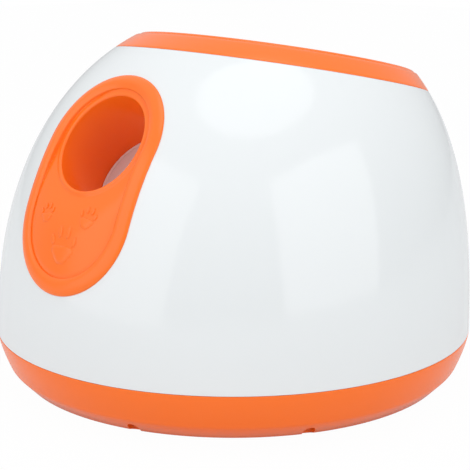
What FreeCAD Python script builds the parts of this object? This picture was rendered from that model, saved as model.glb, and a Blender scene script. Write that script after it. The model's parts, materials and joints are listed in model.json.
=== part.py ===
"""Automatic ball launcher for small dogs: a domed housing that throws 50 mm balls.

The housing is a white dome on a rounded base tray. Every horizontal section of the dome is a
circle; its side profile is a superellipse, and the circles move back as they rise. A tilted plane
cuts the crown off, and the hopper sits in the cut with its collar flush with the dome. A stadium
shaped port bezel carries the tunnel that the balls leave by.

Inside, a spring plunger works along the launch axis. A motor turns a three stage gear train whose
last wheel carries a toothed sector. The sector draws the piston back by its rack and lets it go,
and the launch spring drives the ball out. Balls drop from the hopper through the spout into the
tube in front of the drawn piston.

Frame: millimetres, +Z up, the port faces -Y, origin on the floor under the housing's centre.
Along the launch axis a place is given as depth (inwards from the port's mouth) and rise (square
to the axis, upwards).
"""
import FreeCAD, Part
import math
import os

V = FreeCAD.Vector

# ---------------------------------------------------------------- driving dimensions
# Ball and launch tube
BALL_RADIUS = 25.4
BALL_CLEARANCE = 2.5  # round the ball in the bore
TUBE_WALL = 2.2
LAUNCH_ANGLE = 40.75  # of the launch axis above the horizontal
TUNNEL_DEPTH = 29.0  # the bezel's tunnel ends here and the launch tube begins
PISTON_DEPTH = 33.0  # the piston's front face at rest
TUBE_FLANGE_RIM = 6.0  # how far the tube's flanges stand out from its wall
TUBE_FLANGE_THICKNESS = 3.0
TUBE_END_ROOM = 4.0  # between the drawn piston and the rear cap
DROP_NARROWING = 1.2  # the drop hole's radius is this much less than the bore's
SPOUT_GAP = 1.4  # between the tube's front flange and the hopper's spout
SPIGOT_RISE = 38.0  # top of the tube's spigot round the drop hole
SPOUT_LAP = 5.0  # the spout's sleeve over that spigot
THROAT_RISE = 48.0  # the spout ends and the hopper's bowl begins

# Housing
BODY_RADIUS = 137.5
WIDEST_HEIGHT = 22.0
CROWN_RISE = 191.2  # from the widest circle to where the profile would close
CROWN_POWER = 2.49
CROWN_LEAN = 21.0  # how far back the crown would lie
SEAM_HEIGHT = 33.4  # between base tray and dome
FOOTPRINT_RADIUS = 97.0  # where the base's profile would reach the floor
BASE_POWER = 2.2
SHELL_WALL = 2.5
SKIRT_HEIGHT = 0.8  # the base's lowest edge above the floor
SKIRT_WIDTH = 3.0
SKIRT_RADIUS = 106.5
CREASE_HEIGHT = 4.7  # where the rounded side turns under
FLOOR_HEIGHT = 3.0  # underside of the base's floor
FLOOR_THICKNESS = 2.5
LIP_HEIGHT = 4.0  # the base's lip inside the dome
LIP_THICKNESS = 1.8
FIT_GAP = 0.2  # between pieces that fit together without moving

# Rim and hopper
RIM_HEIGHT = 194.7  # height of the rim's plane over the origin
RIM_TILT = 11.9
COLLAR_HEIGHT = 10.9  # of the collar, measured straight down
RIM_LAND = 4.0  # width of the collar's top
RIM_ROUNDING = 1.6
HOPPER_WALL = 2.2
HOPPER_BELLY_DEPTH = 24.0  # below the rim's plane, where the bowl turns in
HOPPER_BELLY_NARROWING = 13.0
SPIGOT_DEPTH = 6.0  # of the collar's lip inside the dome

# Port bezel
PORT_HEIGHT = 152.2  # where the port's axis meets the dome
PORT_TILT = 34.5  # of the port's face above the horizontal
PORT_INSET = 8.6  # the mouth lies this far inside the dome
BEZEL_HALF_WIDTH = 41.0
BEZEL_TOP_CENTRE = -0.3  # centres of the outline's end arcs, along the face from the mouth
BEZEL_BOTTOM_CENTRE = -40.9
BEZEL_PROUD = 1.4
BEZEL_SEAT = 0.15  # room under the border, over the dome
BEZEL_BORDER = 8.0
BEZEL_OVERLAP = 4.0  # of the border over the dome's hole
BEZEL_RECESS = 1.2  # the plate's depth below the dome's surface
BEZEL_WALL = 2.4
BEZEL_ROUNDING = 1.0
LIP_FACE = 2.4  # height of the flat round the mouth, above the mouth's plane
LIP_WIDTH = 3.4
LIP_PROUD = 0.9
LIP_ROUNDING = 2.2

# Piston and spring
PISTON_CLEARANCE = 0.4
PISTON_WALL = 2.0
PISTON_HEAD = 3.0
PISTON_TAIL = 8.5  # of the skirt behind the drop hole
PAD_RIM = 1.6  # of the piston's face round the pad
PAD_THICKNESS = 1.2
PAD_RECESS = 0.3
SPRING_RADIUS = 19.0
SPRING_WIRE = 1.1
SPRING_TURNS = 9
SPRING_POST_RADIUS = 15.0
SPRING_POST_LENGTH = 22.0

# Rack, sector and gear train
PRESSURE_ANGLE = 25.0
ADDENDUM = 0.8  # tooth sizes are in modules
DEDENDUM = 1.1
BACKLASH = 0.16
RACK_MODULE = 2.0
SECTOR_FULL_TEETH = 22  # of the whole circle
SECTOR_TEETH = 10
RACK_WIDTH = 10.0
RACK_PITCH_GAP = 6.0  # from the piston's skirt down to the rack's pitch line
RACK_SLOT_CLEARANCE = 1.0
SECTOR_SETBACK = 3.0  # of the sector's axis behind the last covered point of the tube
TRAIN_MODULE = 1.0
OUTPUT_TEETH = 48
IDLER_A_TEETH = 42
IDLER_B_TEETH = 36
IDLER_PINION_TEETH = 12
MOTOR_PINION_TEETH = 10
IDLER_A_ANGLE = 150.0  # direction of each next axis, from +Y towards +Z
IDLER_B_ANGLE = 250.0
MOTOR_ANGLE = -18.0
OUTPUT_WIDTH = 5.0
IDLER_A_WIDTH = 4.0
IDLER_B_WIDTH = 3.0
LAYER_GAP = 2.0  # between wheels side by side
SHAFT_RADIUS = 3.0
PIN_RADIUS = 1.5
RUNNING_GAP = 0.08  # radial, of a shaft in its bush
HUB_RADIUS = 3.4
BUSH_WALL = 1.5
BUSH_FLANGE = 1.0
PLATE_THICKNESS = 2.5
PLATE_MARGIN = 3.0
POST_RADIUS = 3.0
FOOT_FLANGE = 10.0
FOOT_FLANGE_THICKNESS = 2.0

# Motor
MOTOR_RADIUS = 13.85
MOTOR_LENGTH = 37.8
MOTOR_FLAT = 11.6
MOTOR_BOSS_RADIUS = 5.0
MOTOR_BOSS = 2.0
MOTOR_SHAFT_RADIUS = 1.15
MOTOR_SCREW_SPACING = 16.0
MOTOR_END = 3.0  # length of the plastic end
MOTOR_TAB_PLACE = 9.0  # of the solder tabs from the axis

# Batteries
CELL_RADIUS = 13.1
CELL_LENGTH = 50.0
CELL_NUB_RADIUS = 3.0
CELL_NUB = 1.5
CELL_GAP = 1.4  # between rows
CELL_COUNT = 2  # in each row
ROW_COUNT = 2
CELL_LIFT = 1.0  # of the cells above the floor
CONTACT_ROOM = 5.0
CONTACT_THICKNESS = 0.4
BOX_WALL = 1.8
BOX_ROOM = 0.5
BATTERY_SETBACK = 6.0  # of the battery box behind the tube's end
DOOR_THICKNESS = 2.2
DOOR_GAP = 0.4
HINGE_RADIUS = 1.2
HINGE_INSET = 1.6
HINGE_LENGTH = 3.0

# Control panel
PANEL_HEIGHT = 74.0  # of its middle
PANEL_HALF_WIDTH = 17.0
PANEL_HALF_HEIGHT = 34.0
PANEL_PROUD = 1.2
PANEL_OVERLAP = 1.7
PANEL_THICKNESS = 3.6
BUTTON_RADIUS = 7.5
BUTTON_PROUD = 2.6
BUTTON_GAP = 0.3
BUTTON_TRAVEL = 1.2
BUTTON_FLANGE = 1.0
POWER_RISE = 20.0  # of each control above the panel's middle
LED_RISE = 7.5
DISTANCE_RISE = -5.0
JACK_RISE = -22.0
LED_RADIUS = 1.5
LED_SPACING = 7.0
LED_COUNT = 3
JACK_RADIUS = 2.85
JACK_LENGTH = 9.0
JACK_NOSE_RADIUS = 4.2
JACK_BODY = 9.0
BOARD_DEPTH = 9.0  # from the panel's back to the board
BOARD_THICKNESS = 1.6
BOARD_HALF_WIDTH = 15.0
BOARD_POST_X = 11.0  # of the panel's posts for the board
BOARD_POST_RISES = (-14.0, 13.0)
BOARD_POST_RADIUS = 2.4
SWITCH_SIZE = 6.0
SWITCH_HEIGHT = 3.6

# Fasteners, feet and sensors
SCREW_RADIUS = 1.45
SCREW_HOLE_RADIUS = 1.7
SCREW_HEAD_RADIUS = 2.7
SCREW_HEAD = 1.8
WELL_RADIUS = 3.3
WELL_PLACE = 121.0  # radius of the circle of housing screws
WELL_ANGLES = (20.0, 62.0, 118.0, 160.0, 208.0, 250.0, 290.0, 332.0)  # from +X towards +Y
WELL_CEILING = 14.0
WELL_WALL = 2.0
BOSS_RADIUS = 3.6
BOSS_TOP = 54.0
FOOT_RADIUS = 7.5
FOOT_PLACE = 84.0
FOOT_ANGLES = (32.0, 148.0, 232.0, 308.0)
SENSOR_RADIUS = 2.5
SENSOR_LENGTH = 6.0

X, Y, Z = V(1, 0, 0), V(0, 1, 0), V(0, 0, 1)
FAR = 400.0  # reach of a cutting block
DOME_SECTIONS = 13
DOME_REACH = 0.966  # share of the crown's rise that the dome's solid goes up to
domes = {}


# ---------------------------------------------------------------- the dome and the places on it
def rad(angle):
    return math.radians(angle)


def dome_radius(height):
    """Radius of the dome's circle at a height: the superellipse."""
    share = abs(height - WIDEST_HEIGHT) / CROWN_RISE
    return BODY_RADIUS * (1 - share**CROWN_POWER) ** (1 / CROWN_POWER)


def dome_centre(height):
    """How far back the dome's circle lies at a height."""
    return CROWN_LEAN * (max(height - WIDEST_HEIGHT, 0) / CROWN_RISE) ** 2


def rim_plane(y):
    return RIM_HEIGHT - math.tan(rad(RIM_TILT)) * y


def rim_end(side):
    """The y where the rim's plane leaves the dome at the front (side -1) or back (side 1)."""
    inside, outside = dome_centre(RIM_HEIGHT), side * BODY_RADIUS
    for _ in range(50):
        y = (inside + outside) / 2
        height = rim_plane(y)
        reach = dome_radius(height) if height < WIDEST_HEIGHT + CROWN_RISE else 0
        if side * (y - dome_centre(height)) < reach:
            inside = y
        else:
            outside = y
    return inside


def rim_half_width():
    """Half the rim's breadth across the launcher, at its widest."""
    steps = 60
    widths = []
    for i in range(1, steps):
        y = rim_front + (rim_back - rim_front) * i / steps
        z = rim_plane(y)
        widths.append(dome_radius(z) ** 2 - (y - dome_centre(z)) ** 2)
    return math.sqrt(max(widths))


rim_front, rim_back = rim_end(-1), rim_end(1)
rim_centre = V(0, (rim_front + rim_back) / 2, rim_plane((rim_front + rim_back) / 2))
rim_normal = V(0, math.sin(rad(RIM_TILT)), math.cos(rad(RIM_TILT)))
rim_length = (rim_back - rim_front) / 2 / math.cos(rad(RIM_TILT))
rim_width = rim_half_width()

bore_radius = BALL_RADIUS + BALL_CLEARANCE
tube_radius = bore_radius + TUBE_WALL
flange_radius = tube_radius + TUBE_FLANGE_RIM
inward = V(0, math.cos(rad(LAUNCH_ANGLE)), -math.sin(rad(LAUNCH_ANGLE)))
rise_up = V(0, math.sin(rad(LAUNCH_ANGLE)), math.cos(rad(LAUNCH_ANGLE)))
face_out = V(0, -math.cos(rad(PORT_TILT)), math.sin(rad(PORT_TILT)))
face_up = V(0, math.sin(rad(PORT_TILT)), math.cos(rad(PORT_TILT)))
mouth = V(0, dome_centre(PORT_HEIGHT) - dome_radius(PORT_HEIGHT), PORT_HEIGHT) - face_out * PORT_INSET

drop_radius = bore_radius - DROP_NARROWING
spigot_radius = drop_radius + TUBE_WALL
spout_radius = spigot_radius + FIT_GAP + TUBE_WALL
drop_depth = TUNNEL_DEPTH + TUBE_FLANGE_THICKNESS + SPOUT_GAP + spout_radius
skirt_end = drop_depth + drop_radius + PISTON_TAIL  # the piston's rear edge at rest
piston_radius = bore_radius - PISTON_CLEARANCE
pad_radius = piston_radius - PAD_RIM
sensor_rise = (SPIGOT_RISE + THROAT_RISE) / 2 + 0.5

rack_pitch = math.pi * RACK_MODULE
rack_line = piston_radius + RACK_PITCH_GAP  # the rack's pitch line below the launch axis
sector_radius = RACK_MODULE * SECTOR_FULL_TEETH / 2
sector_step = 360.0 / SECTOR_FULL_TEETH
stroke = rack_pitch * SECTOR_TEETH
tube_end = skirt_end + stroke + TUBE_END_ROOM
cap_end = tube_end + TUBE_FLANGE_THICKNESS
sector_depth = PISTON_DEPTH + stroke + SECTOR_SETBACK

floor_top = FLOOR_HEIGHT + FLOOR_THICKNESS


def at(depth, rise=0.0, x=0.0):
    """The point at a depth and a rise along the launch axis."""
    return mouth + inward * depth + rise_up * rise + X * x


sector_axis = at(sector_depth, -rack_line - sector_radius)


def next_axis(axis, wheel_teeth, pinion_teeth, angle):
    reach = TRAIN_MODULE * (wheel_teeth + pinion_teeth) / 2
    return axis + V(0, math.cos(rad(angle)), math.sin(rad(angle))) * reach


idler_a_axis = next_axis(sector_axis, OUTPUT_TEETH, IDLER_PINION_TEETH, IDLER_A_ANGLE)
idler_b_axis = next_axis(idler_a_axis, IDLER_A_TEETH, IDLER_PINION_TEETH, IDLER_B_ANGLE)
motor_axis = next_axis(idler_b_axis, IDLER_B_TEETH, MOTOR_PINION_TEETH, MOTOR_ANGLE)

output_low = RACK_WIDTH / 2 + LAYER_GAP + 1
output_high = output_low + OUTPUT_WIDTH
idler_a_low = output_high + LAYER_GAP
idler_a_high = idler_a_low + IDLER_A_WIDTH
idler_b_low = idler_a_high + LAYER_GAP
idler_b_high = idler_b_low + IDLER_B_WIDTH
left_plate_inner = -(RACK_WIDTH / 2 + LAYER_GAP + 1)
right_plate_inner = idler_b_high + LAYER_GAP - 0.5
left_plate_outer = left_plate_inner - PLATE_THICKNESS
right_plate_outer = right_plate_inner + PLATE_THICKNESS

cell_pitch = 2 * CELL_RADIUS + CELL_GAP
bay_half_length = CELL_COUNT * CELL_LENGTH / 2 + CONTACT_ROOM
bay_top = floor_top + CELL_LIFT + 2 * CELL_RADIUS + BOX_ROOM
bay_front = at(cap_end).y + BATTERY_SETBACK
bay_back = bay_front + (ROW_COUNT - 1) * cell_pitch + 2 * (CELL_RADIUS + BOX_ROOM)
cell_height = floor_top + CELL_LIFT + CELL_RADIUS
hinge_y = bay_front + HINGE_INSET

panel_y = dome_centre(PANEL_HEIGHT) + dome_radius(PANEL_HEIGHT)
panel_back = panel_y - PANEL_THICKNESS
board_front = panel_back - BOARD_DEPTH


# ---------------------------------------------------------------- shape helpers
def rod(start, along, length, radius):
    return Part.makeCylinder(radius, length, start, along)


def sleeve(start, along, length, outer, inner):
    return rod(start, along, length, outer).cut(rod(start, along, length, inner))


def block(low, high):
    return Part.makeBox(high.x - low.x, high.y - low.y, high.z - low.z, low)


def joined(shapes):
    whole = shapes[0]
    for shape in shapes[1:]:
        whole = whole.fuse(shape)
    return whole.removeSplitter()


def beyond(point, normal):
    """A large block on the side of a plane that its normal points to."""
    cut = Part.makeBox(2 * FAR, 2 * FAR, FAR, V(-FAR, -FAR, 0))
    cut.Placement = FreeCAD.Placement(point, FreeCAD.Rotation(Z, normal))
    return cut


def prism_x(points, x_low, x_high):
    """A polygon of (y, z) points carried along X."""
    corners = [V(x_low, y, z) for y, z in points]
    return Part.Face(Part.makePolygon(corners + corners[:1])).extrude(X * (x_high - x_low))


def edges_on(shape, point, normal):
    """The edges of a shape that lie in a plane."""
    def level(place):
        return abs((place - point).dot(normal)) < 0.01

    return [edge for edge in shape.Edges if all(level(p) for p in edge.discretize(5))]


def edges_on_top(shape):
    """The outer edges of a piece of the dome, between its side walls and its outer face."""
    face = max(shape.Faces, key=lambda f: f.CenterOfMass.dot(face_out))
    return face.Edges


def stadium(origin, up, out, half_width, top, bottom, low, high):
    """A stadium outline in the plane of X and up, carried along out from low to high."""
    def place(x, rise):
        return origin + X * x + up * rise + out * low

    w = half_width
    edges = [
        Part.LineSegment(place(w, bottom), place(w, top)),
        Part.Arc(place(w, top), place(0, top + w), place(-w, top)),
        Part.LineSegment(place(-w, top), place(-w, bottom)),
        Part.Arc(place(-w, bottom), place(0, bottom - w), place(w, bottom)),
    ]
    wire = Part.Wire([edge.toShape() for edge in edges])
    return Part.Face(wire).extrude(out * (high - low))


def dome(offset=0.0):
    """The dome's solid grown outwards by an offset, from its widest circle to past the rim."""
    if offset in domes:
        return domes[offset]
    last = math.asin(DOME_REACH)
    wires = []
    for i in range(DOME_SECTIONS):
        height = WIDEST_HEIGHT + CROWN_RISE * math.sin(last * i / (DOME_SECTIONS - 1))
        slope = dome_radius(height + 0.5) - dome_radius(height - 0.5)
        across = 1 / math.hypot(1, slope)
        centre = V(0, dome_centre(height), height - offset * slope * across)
        wires.append(Part.Wire(Part.makeCircle(dome_radius(height) + offset * across, centre, Z)))
    domes[offset] = Part.makeLoft(wires, True, False, False, 3)
    return domes[offset]


def screw(tip, back, length, radius=SCREW_RADIUS, head=SCREW_HEAD_RADIUS):
    """A pan head screw: its shank runs from the tip along back, and the head stands on its end."""
    shank = rod(tip, back, length, radius)
    pan = rod(tip + back * length, back, SCREW_HEAD, head)
    return shank.fuse(pan)


# ---------------------------------------------------------------- gears
def involute(angle):
    return math.tan(angle) - angle


def tooth_points(module, teeth, centre_angle):
    """One tooth's outline as (angle, radius) pairs, from root to root."""
    pressure = rad(PRESSURE_ANGLE)
    pitch = module * teeth / 2
    base = pitch * math.cos(pressure)
    radii = [pitch - DEDENDUM * module, pitch - 0.4 * module, pitch + 0.2 * module, pitch + ADDENDUM * module]
    flank = []
    for radius in radii:
        turn = math.acos(min(base / radius, 1.0))
        half = math.pi / 2 / teeth - BACKLASH / 4 / pitch * 2 + involute(pressure) - involute(turn)
        flank.append((half, radius))
    left = [(centre_angle - half, radius) for half, radius in flank]
    right = [(centre_angle + half, radius) for half, radius in reversed(flank)]
    return left + right


def polar(axis, angle, radius, x):
    return V(x, axis.y + radius * math.cos(angle), axis.z + radius * math.sin(angle))


def gear(axis, module, teeth, phase, x_low, x_high):
    """A spur wheel about an axis along X, one of its teeth at the phase angle."""
    outline = []
    for i in range(teeth):
        outline += tooth_points(module, teeth, phase + 2 * math.pi * i / teeth)
    corners = [polar(axis, angle, radius, x_low) for angle, radius in outline]
    return Part.Face(Part.makePolygon(corners + corners[:1])).extrude(X * (x_high - x_low))


def meshed_phase(phase, teeth, next_teeth, angle):
    """The phase of the next wheel, so that its spaces meet this wheel's teeth."""
    arc = teeth * (phase - rad(angle))
    return rad(angle) + math.pi + (math.pi - arc) / next_teeth


rise_angle = math.atan2(rise_up.z, rise_up.y)
output_phase = 0.0
idler_a_pinion_phase = meshed_phase(output_phase, OUTPUT_TEETH, IDLER_PINION_TEETH, IDLER_A_ANGLE)
idler_a_phase = 0.0
idler_b_pinion_phase = meshed_phase(idler_a_phase, IDLER_A_TEETH, IDLER_PINION_TEETH, IDLER_B_ANGLE)
idler_b_phase = 0.0
motor_pinion_phase = meshed_phase(idler_b_phase, IDLER_B_TEETH, MOTOR_PINION_TEETH, MOTOR_ANGLE)


def sector():
    """The toothed sector: ten teeth of twenty-two, and a plain arc at root height for the rest."""
    outline = []
    for i in range(SECTOR_TEETH):
        centre_angle = rise_angle + rad(sector_step) * (i + 0.5)
        outline += tooth_points(RACK_MODULE, SECTOR_FULL_TEETH, centre_angle)
    x = -RACK_WIDTH / 2
    corners = [polar(sector_axis, angle, radius, x) for angle, radius in outline]
    edges = [Part.makeLine(a, b) for a, b in zip(corners, corners[1:])]
    root = sector_radius - DEDENDUM * RACK_MODULE
    far_side = (outline[0][0] + outline[-1][0]) / 2 + math.pi
    middle = polar(sector_axis, far_side, root, x)
    edges.append(Part.Arc(corners[-1], middle, corners[0]).toShape())
    return Part.Face(Part.Wire(edges)).extrude(X * RACK_WIDTH)


def rack():
    """The rack under the piston: eleven teeth on a bar, its tooth spaces meeting the sector."""
    slope = math.tan(rad(PRESSURE_ANGLE))
    root = -rack_line + DEDENDUM * RACK_MODULE
    tip = -rack_line - ADDENDUM * RACK_MODULE
    half = rack_pitch / 4 - BACKLASH / 2
    wide = half + DEDENDUM * RACK_MODULE * slope
    narrow = half - ADDENDUM * RACK_MODULE * slope
    profile = []
    for i in range(SECTOR_TEETH + 1):
        centre = sector_depth - rack_pitch * (SECTOR_TEETH - i)
        profile += [(centre - wide, root), (centre - narrow, tip)]
        profile += [(centre + narrow, tip), (centre + wide, root)]
    back = -piston_radius + PISTON_WALL / 2
    profile = [(profile[0][0], back)] + profile + [(profile[-1][0], back)]
    corners = [at(depth, rise, -RACK_WIDTH / 2) for depth, rise in profile]
    return Part.Face(Part.makePolygon(corners + corners[:1])).extrude(X * RACK_WIDTH)


# ---------------------------------------------------------------- housing
def base_radius(height):
    """The base's outer radius at a height below the seam."""
    share = max(SEAM_HEIGHT - height, 0) / SEAM_HEIGHT
    reach = BODY_RADIUS - FOOTPRINT_RADIUS
    return FOOTPRINT_RADIUS + reach * (1 - share**BASE_POWER) ** (1 / BASE_POWER)


def base_curve(offset, high):
    """Points of the base's profile moved inwards by an offset, from the crease to a height."""
    points = []
    for i in range(9):
        z = CREASE_HEIGHT + (high - CREASE_HEIGHT) * (i / 8) ** 1.5
        slope = (base_radius(z + 0.05) - base_radius(z - 0.05)) / 0.1
        across = 1 / math.hypot(1, slope)
        points.append(V(base_radius(z) - offset * across, 0, z + offset * slope * across))
    return points


def revolved(corners, curve):
    """A half section of straight lines closed by a run of arcs through every other curve point."""
    edges = [Part.makeLine(a, b) for a, b in zip(corners, corners[1:])]
    edges += [Part.Arc(*curve[i : i + 3]).toShape() for i in range(0, len(curve) - 2, 2)]
    return Part.Face(Part.Wire(Part.__sortEdges__(edges))).revolve(V(0, 0, 0), Z, 360)


def base_outside():
    """The base's outer form as a solid."""
    outer = base_curve(0, SEAM_HEIGHT)
    bottom = V(SKIRT_RADIUS, 0, SKIRT_HEIGHT)
    return revolved([outer[-1], V(0, 0, SEAM_HEIGHT), V(0, 0, SKIRT_HEIGHT), bottom, outer[0]], outer)


def base_inside():
    """The hollow over the base's floor, as a solid."""
    inner = base_curve(SHELL_WALL, SEAM_HEIGHT - 2 * LIP_HEIGHT)
    top = V(inner[-1].x, 0, SEAM_HEIGHT + 1)
    corners = [inner[-1], top, V(0, 0, top.z), V(0, 0, floor_top), V(inner[0].x, 0, floor_top), inner[0]]
    return revolved(corners, inner)


def well_places():
    """The housing screws, as (x, y)."""
    return [(WELL_PLACE * math.cos(rad(angle)), WELL_PLACE * math.sin(rad(angle))) for angle in WELL_ANGLES]


def base_tray():
    """The base: one moulding with wells for the housing screws and the battery opening."""
    outside = base_outside()
    lip_outer = BODY_RADIUS - SHELL_WALL - FIT_GAP
    lip_low = SEAM_HEIGHT - 2 * LIP_HEIGHT
    lip = sleeve(V(0, 0, lip_low), Z, 3 * LIP_HEIGHT, lip_outer, lip_outer - LIP_THICKNESS)
    wells = well_places()
    tower_height = WELL_CEILING + WELL_WALL - FLOOR_HEIGHT
    towers = [rod(V(x, y, FLOOR_HEIGHT), Z, tower_height, WELL_RADIUS + WELL_WALL) for x, y in wells]
    towers = Part.makeCompound(towers).common(outside)
    recess = rod(V(0, 0, 0), Z, FLOOR_HEIGHT, SKIRT_RADIUS - SKIRT_WIDTH)
    tray = outside.cut([base_inside(), recess]).fuse([lip, towers])
    cuts = []
    for x, y in wells:
        cuts.append(rod(V(x, y, -1), Z, WELL_CEILING + 1, WELL_RADIUS))
        cuts.append(rod(V(x, y, 0), Z, BOSS_TOP, SCREW_HOLE_RADIUS))
    for x, y in foot_screw_places():
        cuts.append(rod(V(x, y, FLOOR_HEIGHT - 1), Z, FLOOR_THICKNESS + 2, SCREW_RADIUS + 0.05))
    cuts.append(block(V(-bay_half_length, bay_front, 0), V(bay_half_length, bay_back, floor_top + 1)))
    tray = tray.cut(cuts)
    ears = []
    for side in (-1, 1):
        x_low = bay_half_length + FIT_GAP if side > 0 else -bay_half_length - FIT_GAP - HINGE_LENGTH
        low = V(x_low, bay_front - 2, SKIRT_HEIGHT)
        ears.append(block(low, V(x_low + HINGE_LENGTH, hinge_y + 3, floor_top)))
    reach = bay_half_length + FIT_GAP + HINGE_LENGTH + 1
    hinge_hole = rod(V(-reach, hinge_y, FLOOR_HEIGHT), X, 2 * reach, HINGE_RADIUS + RUNNING_GAP)
    return tray.fuse(ears).cut(hinge_hole).removeSplitter()


def dome_shell():
    """The white dome, open at the rim, the port and the control panel, with its screw bosses."""
    collar_low = rim_centre - Z * COLLAR_HEIGHT
    shell = dome().cut(dome(-SHELL_WALL))
    shell = shell.cut([beyond(collar_low, rim_normal), beyond(Z * SEAM_HEIGHT, Z * -1)])
    shell = shell.cut(bezel_prism(BEZEL_HALF_WIDTH - BEZEL_OVERLAP, -30, 30))
    shell = shell.cut(panel_prism(PANEL_HALF_WIDTH - PANEL_OVERLAP, -20, 20))
    bottom = WELL_CEILING + WELL_WALL
    rib_low = SEAM_HEIGHT + 2 * LIP_HEIGHT
    ribs, bosses, holes = [], [], []
    for x, y in well_places():
        rib = Part.makeBox(BODY_RADIUS - WELL_PLACE, SHELL_WALL, BOSS_TOP - rib_low, V(0, -SHELL_WALL / 2, 0))
        rib.Placement = FreeCAD.Placement(V(x, y, rib_low), FreeCAD.Rotation(X, V(x, y, 0)))
        ribs.append(rib)
        bosses.append(rod(V(x, y, bottom), Z, BOSS_TOP - bottom, BOSS_RADIUS))
        holes.append(rod(V(x, y, bottom), Z, BOSS_TOP - bottom - 3, SCREW_RADIUS + 0.05))
    ribs = Part.makeCompound(ribs).common(dome(-SHELL_WALL / 2))
    return shell.fuse([ribs] + bosses).cut(holes).removeSplitter()


def rim_ellipse(lift, narrowing):
    """The rim's outline moved along its normal by lift and drawn in by narrowing."""
    width, length = rim_width - narrowing, rim_length - narrowing
    centre = rim_centre + rim_normal * lift
    backward = V(0, math.cos(rad(RIM_TILT)), -math.sin(rad(RIM_TILT)))
    if width >= length:
        curve = Part.Ellipse(centre + X * width, centre + backward * length, centre)
    else:
        curve = Part.Ellipse(centre + backward * length, centre - X * width, centre)
    return Part.Wire(curve.toShape())


def bowl(grow):
    """The hopper's bowl as a solid, grown by the wall for its outside."""
    throat = Part.Wire(Part.makeCircle(drop_radius + grow, at(drop_depth, THROAT_RISE), rise_up * -1))
    brim = rim_ellipse(1.0, RIM_LAND - grow)
    belly = rim_ellipse(-HOPPER_BELLY_DEPTH, RIM_LAND + HOPPER_BELLY_NARROWING - grow)
    return Part.makeLoft([brim, belly, throat], True, False)


def hopper():
    """Collar, bowl and spout in one moulding."""
    above = beyond(rim_centre, rim_normal)
    collar_low = rim_centre - Z * COLLAR_HEIGHT
    spigot_low = collar_low - Z * SPIGOT_DEPTH
    under_land = beyond(rim_centre - rim_normal * HOPPER_WALL, rim_normal)
    collar = dome().cut([above, beyond(collar_low, rim_normal * -1)])
    collar = collar.makeFillet(RIM_ROUNDING, edges_on(collar, rim_centre, rim_normal))
    spigot = dome(-SHELL_WALL - FIT_GAP).cut([above, beyond(spigot_low, rim_normal * -1)])
    hollow = dome(-SHELL_WALL - FIT_GAP - LIP_THICKNESS).cut(under_land)
    ring = collar.fuse(spigot).cut(hollow)
    spout_low = SPIGOT_RISE - SPOUT_LAP
    spout = rod(at(drop_depth, spout_low), rise_up, THROAT_RISE - spout_low, spout_radius)
    throat = rod(at(drop_depth, SPIGOT_RISE), rise_up, THROAT_RISE - SPIGOT_RISE, drop_radius)
    socket = rod(at(drop_depth, 0), rise_up, SPIGOT_RISE + FIT_GAP, spigot_radius + FIT_GAP)
    solid = ring.fuse([bowl(HOPPER_WALL).cut(above), spout])
    eyes = []
    for side in (-1, 1):
        eye = at(drop_depth, sensor_rise, side * (drop_radius - 1))
        eyes.append(rod(eye, X * side, 10, SENSOR_RADIUS + 0.1))
    return solid.cut([bowl(0), throat, socket] + eyes).removeSplitter()


def bezel_prism(half_width, low, high):
    return stadium(mouth, face_up, face_out, half_width, BEZEL_TOP_CENTRE, BEZEL_BOTTOM_CENTRE, low, high)


def port_bezel():
    """Border, recessed plate, raised mouth and tunnel in one moulding."""
    reach = 40.0
    plug = bezel_prism(BEZEL_HALF_WIDTH - BEZEL_OVERLAP - FIT_GAP, -reach, reach)
    inner = bezel_prism(BEZEL_HALF_WIDTH - BEZEL_BORDER, -reach, reach)
    face = mouth + face_out * LIP_FACE
    back = mouth + face_out * (LIP_FACE - BEZEL_WALL)
    body = dome(BEZEL_PROUD).common(bezel_prism(BEZEL_HALF_WIDTH, -reach, reach))
    body = body.makeFillet(BEZEL_ROUNDING, edges_on_top(body))
    body = body.cut(dome(BEZEL_SEAT).cut(plug))
    body = body.cut(inner.cut(dome(-BEZEL_RECESS)))
    body = body.cut(inner.common(beyond(face, face_out)))
    body = body.cut(dome(-BEZEL_RECESS - BEZEL_WALL).cut(beyond(back, face_out)))
    tunnel = rod(at(-reach), inward, TUNNEL_DEPTH + reach, tube_radius).cut(beyond(face, face_out))
    lip = rod(at(-reach), inward, 2 * reach, bore_radius + LIP_WIDTH)
    lip = lip.cut([beyond(face + face_out * LIP_PROUD, face_out), beyond(back, face_out * -1)])
    lip = lip.makeFillet(LIP_ROUNDING / 2, edges_on(lip, face + face_out * LIP_PROUD, face_out))
    flange = rod(at(TUNNEL_DEPTH - TUBE_FLANGE_THICKNESS), inward, TUBE_FLANGE_THICKNESS, flange_radius)
    body = body.fuse([tunnel, lip, flange])
    body = body.cut(rod(at(-reach), inward, TUNNEL_DEPTH + reach + 1, bore_radius))
    holes = flange_holes(TUNNEL_DEPTH - TUBE_FLANGE_THICKNESS - 1, SCREW_RADIUS + 0.05)
    return body.cut(holes).removeSplitter()


# ---------------------------------------------------------------- launch tube
def flange_places():
    """The four screws of a tube flange, as (x, rise)."""
    ring = (tube_radius + flange_radius) / 2
    return [(ring * math.cos(rad(a)), ring * math.sin(rad(a))) for a in (45, 135, 225, 315)]


def flange_holes(depth, radius):
    length = 2 * TUBE_FLANGE_THICKNESS + 2
    return [rod(at(depth, rise, x), inward, length, radius) for x, rise in flange_places()]


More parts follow.
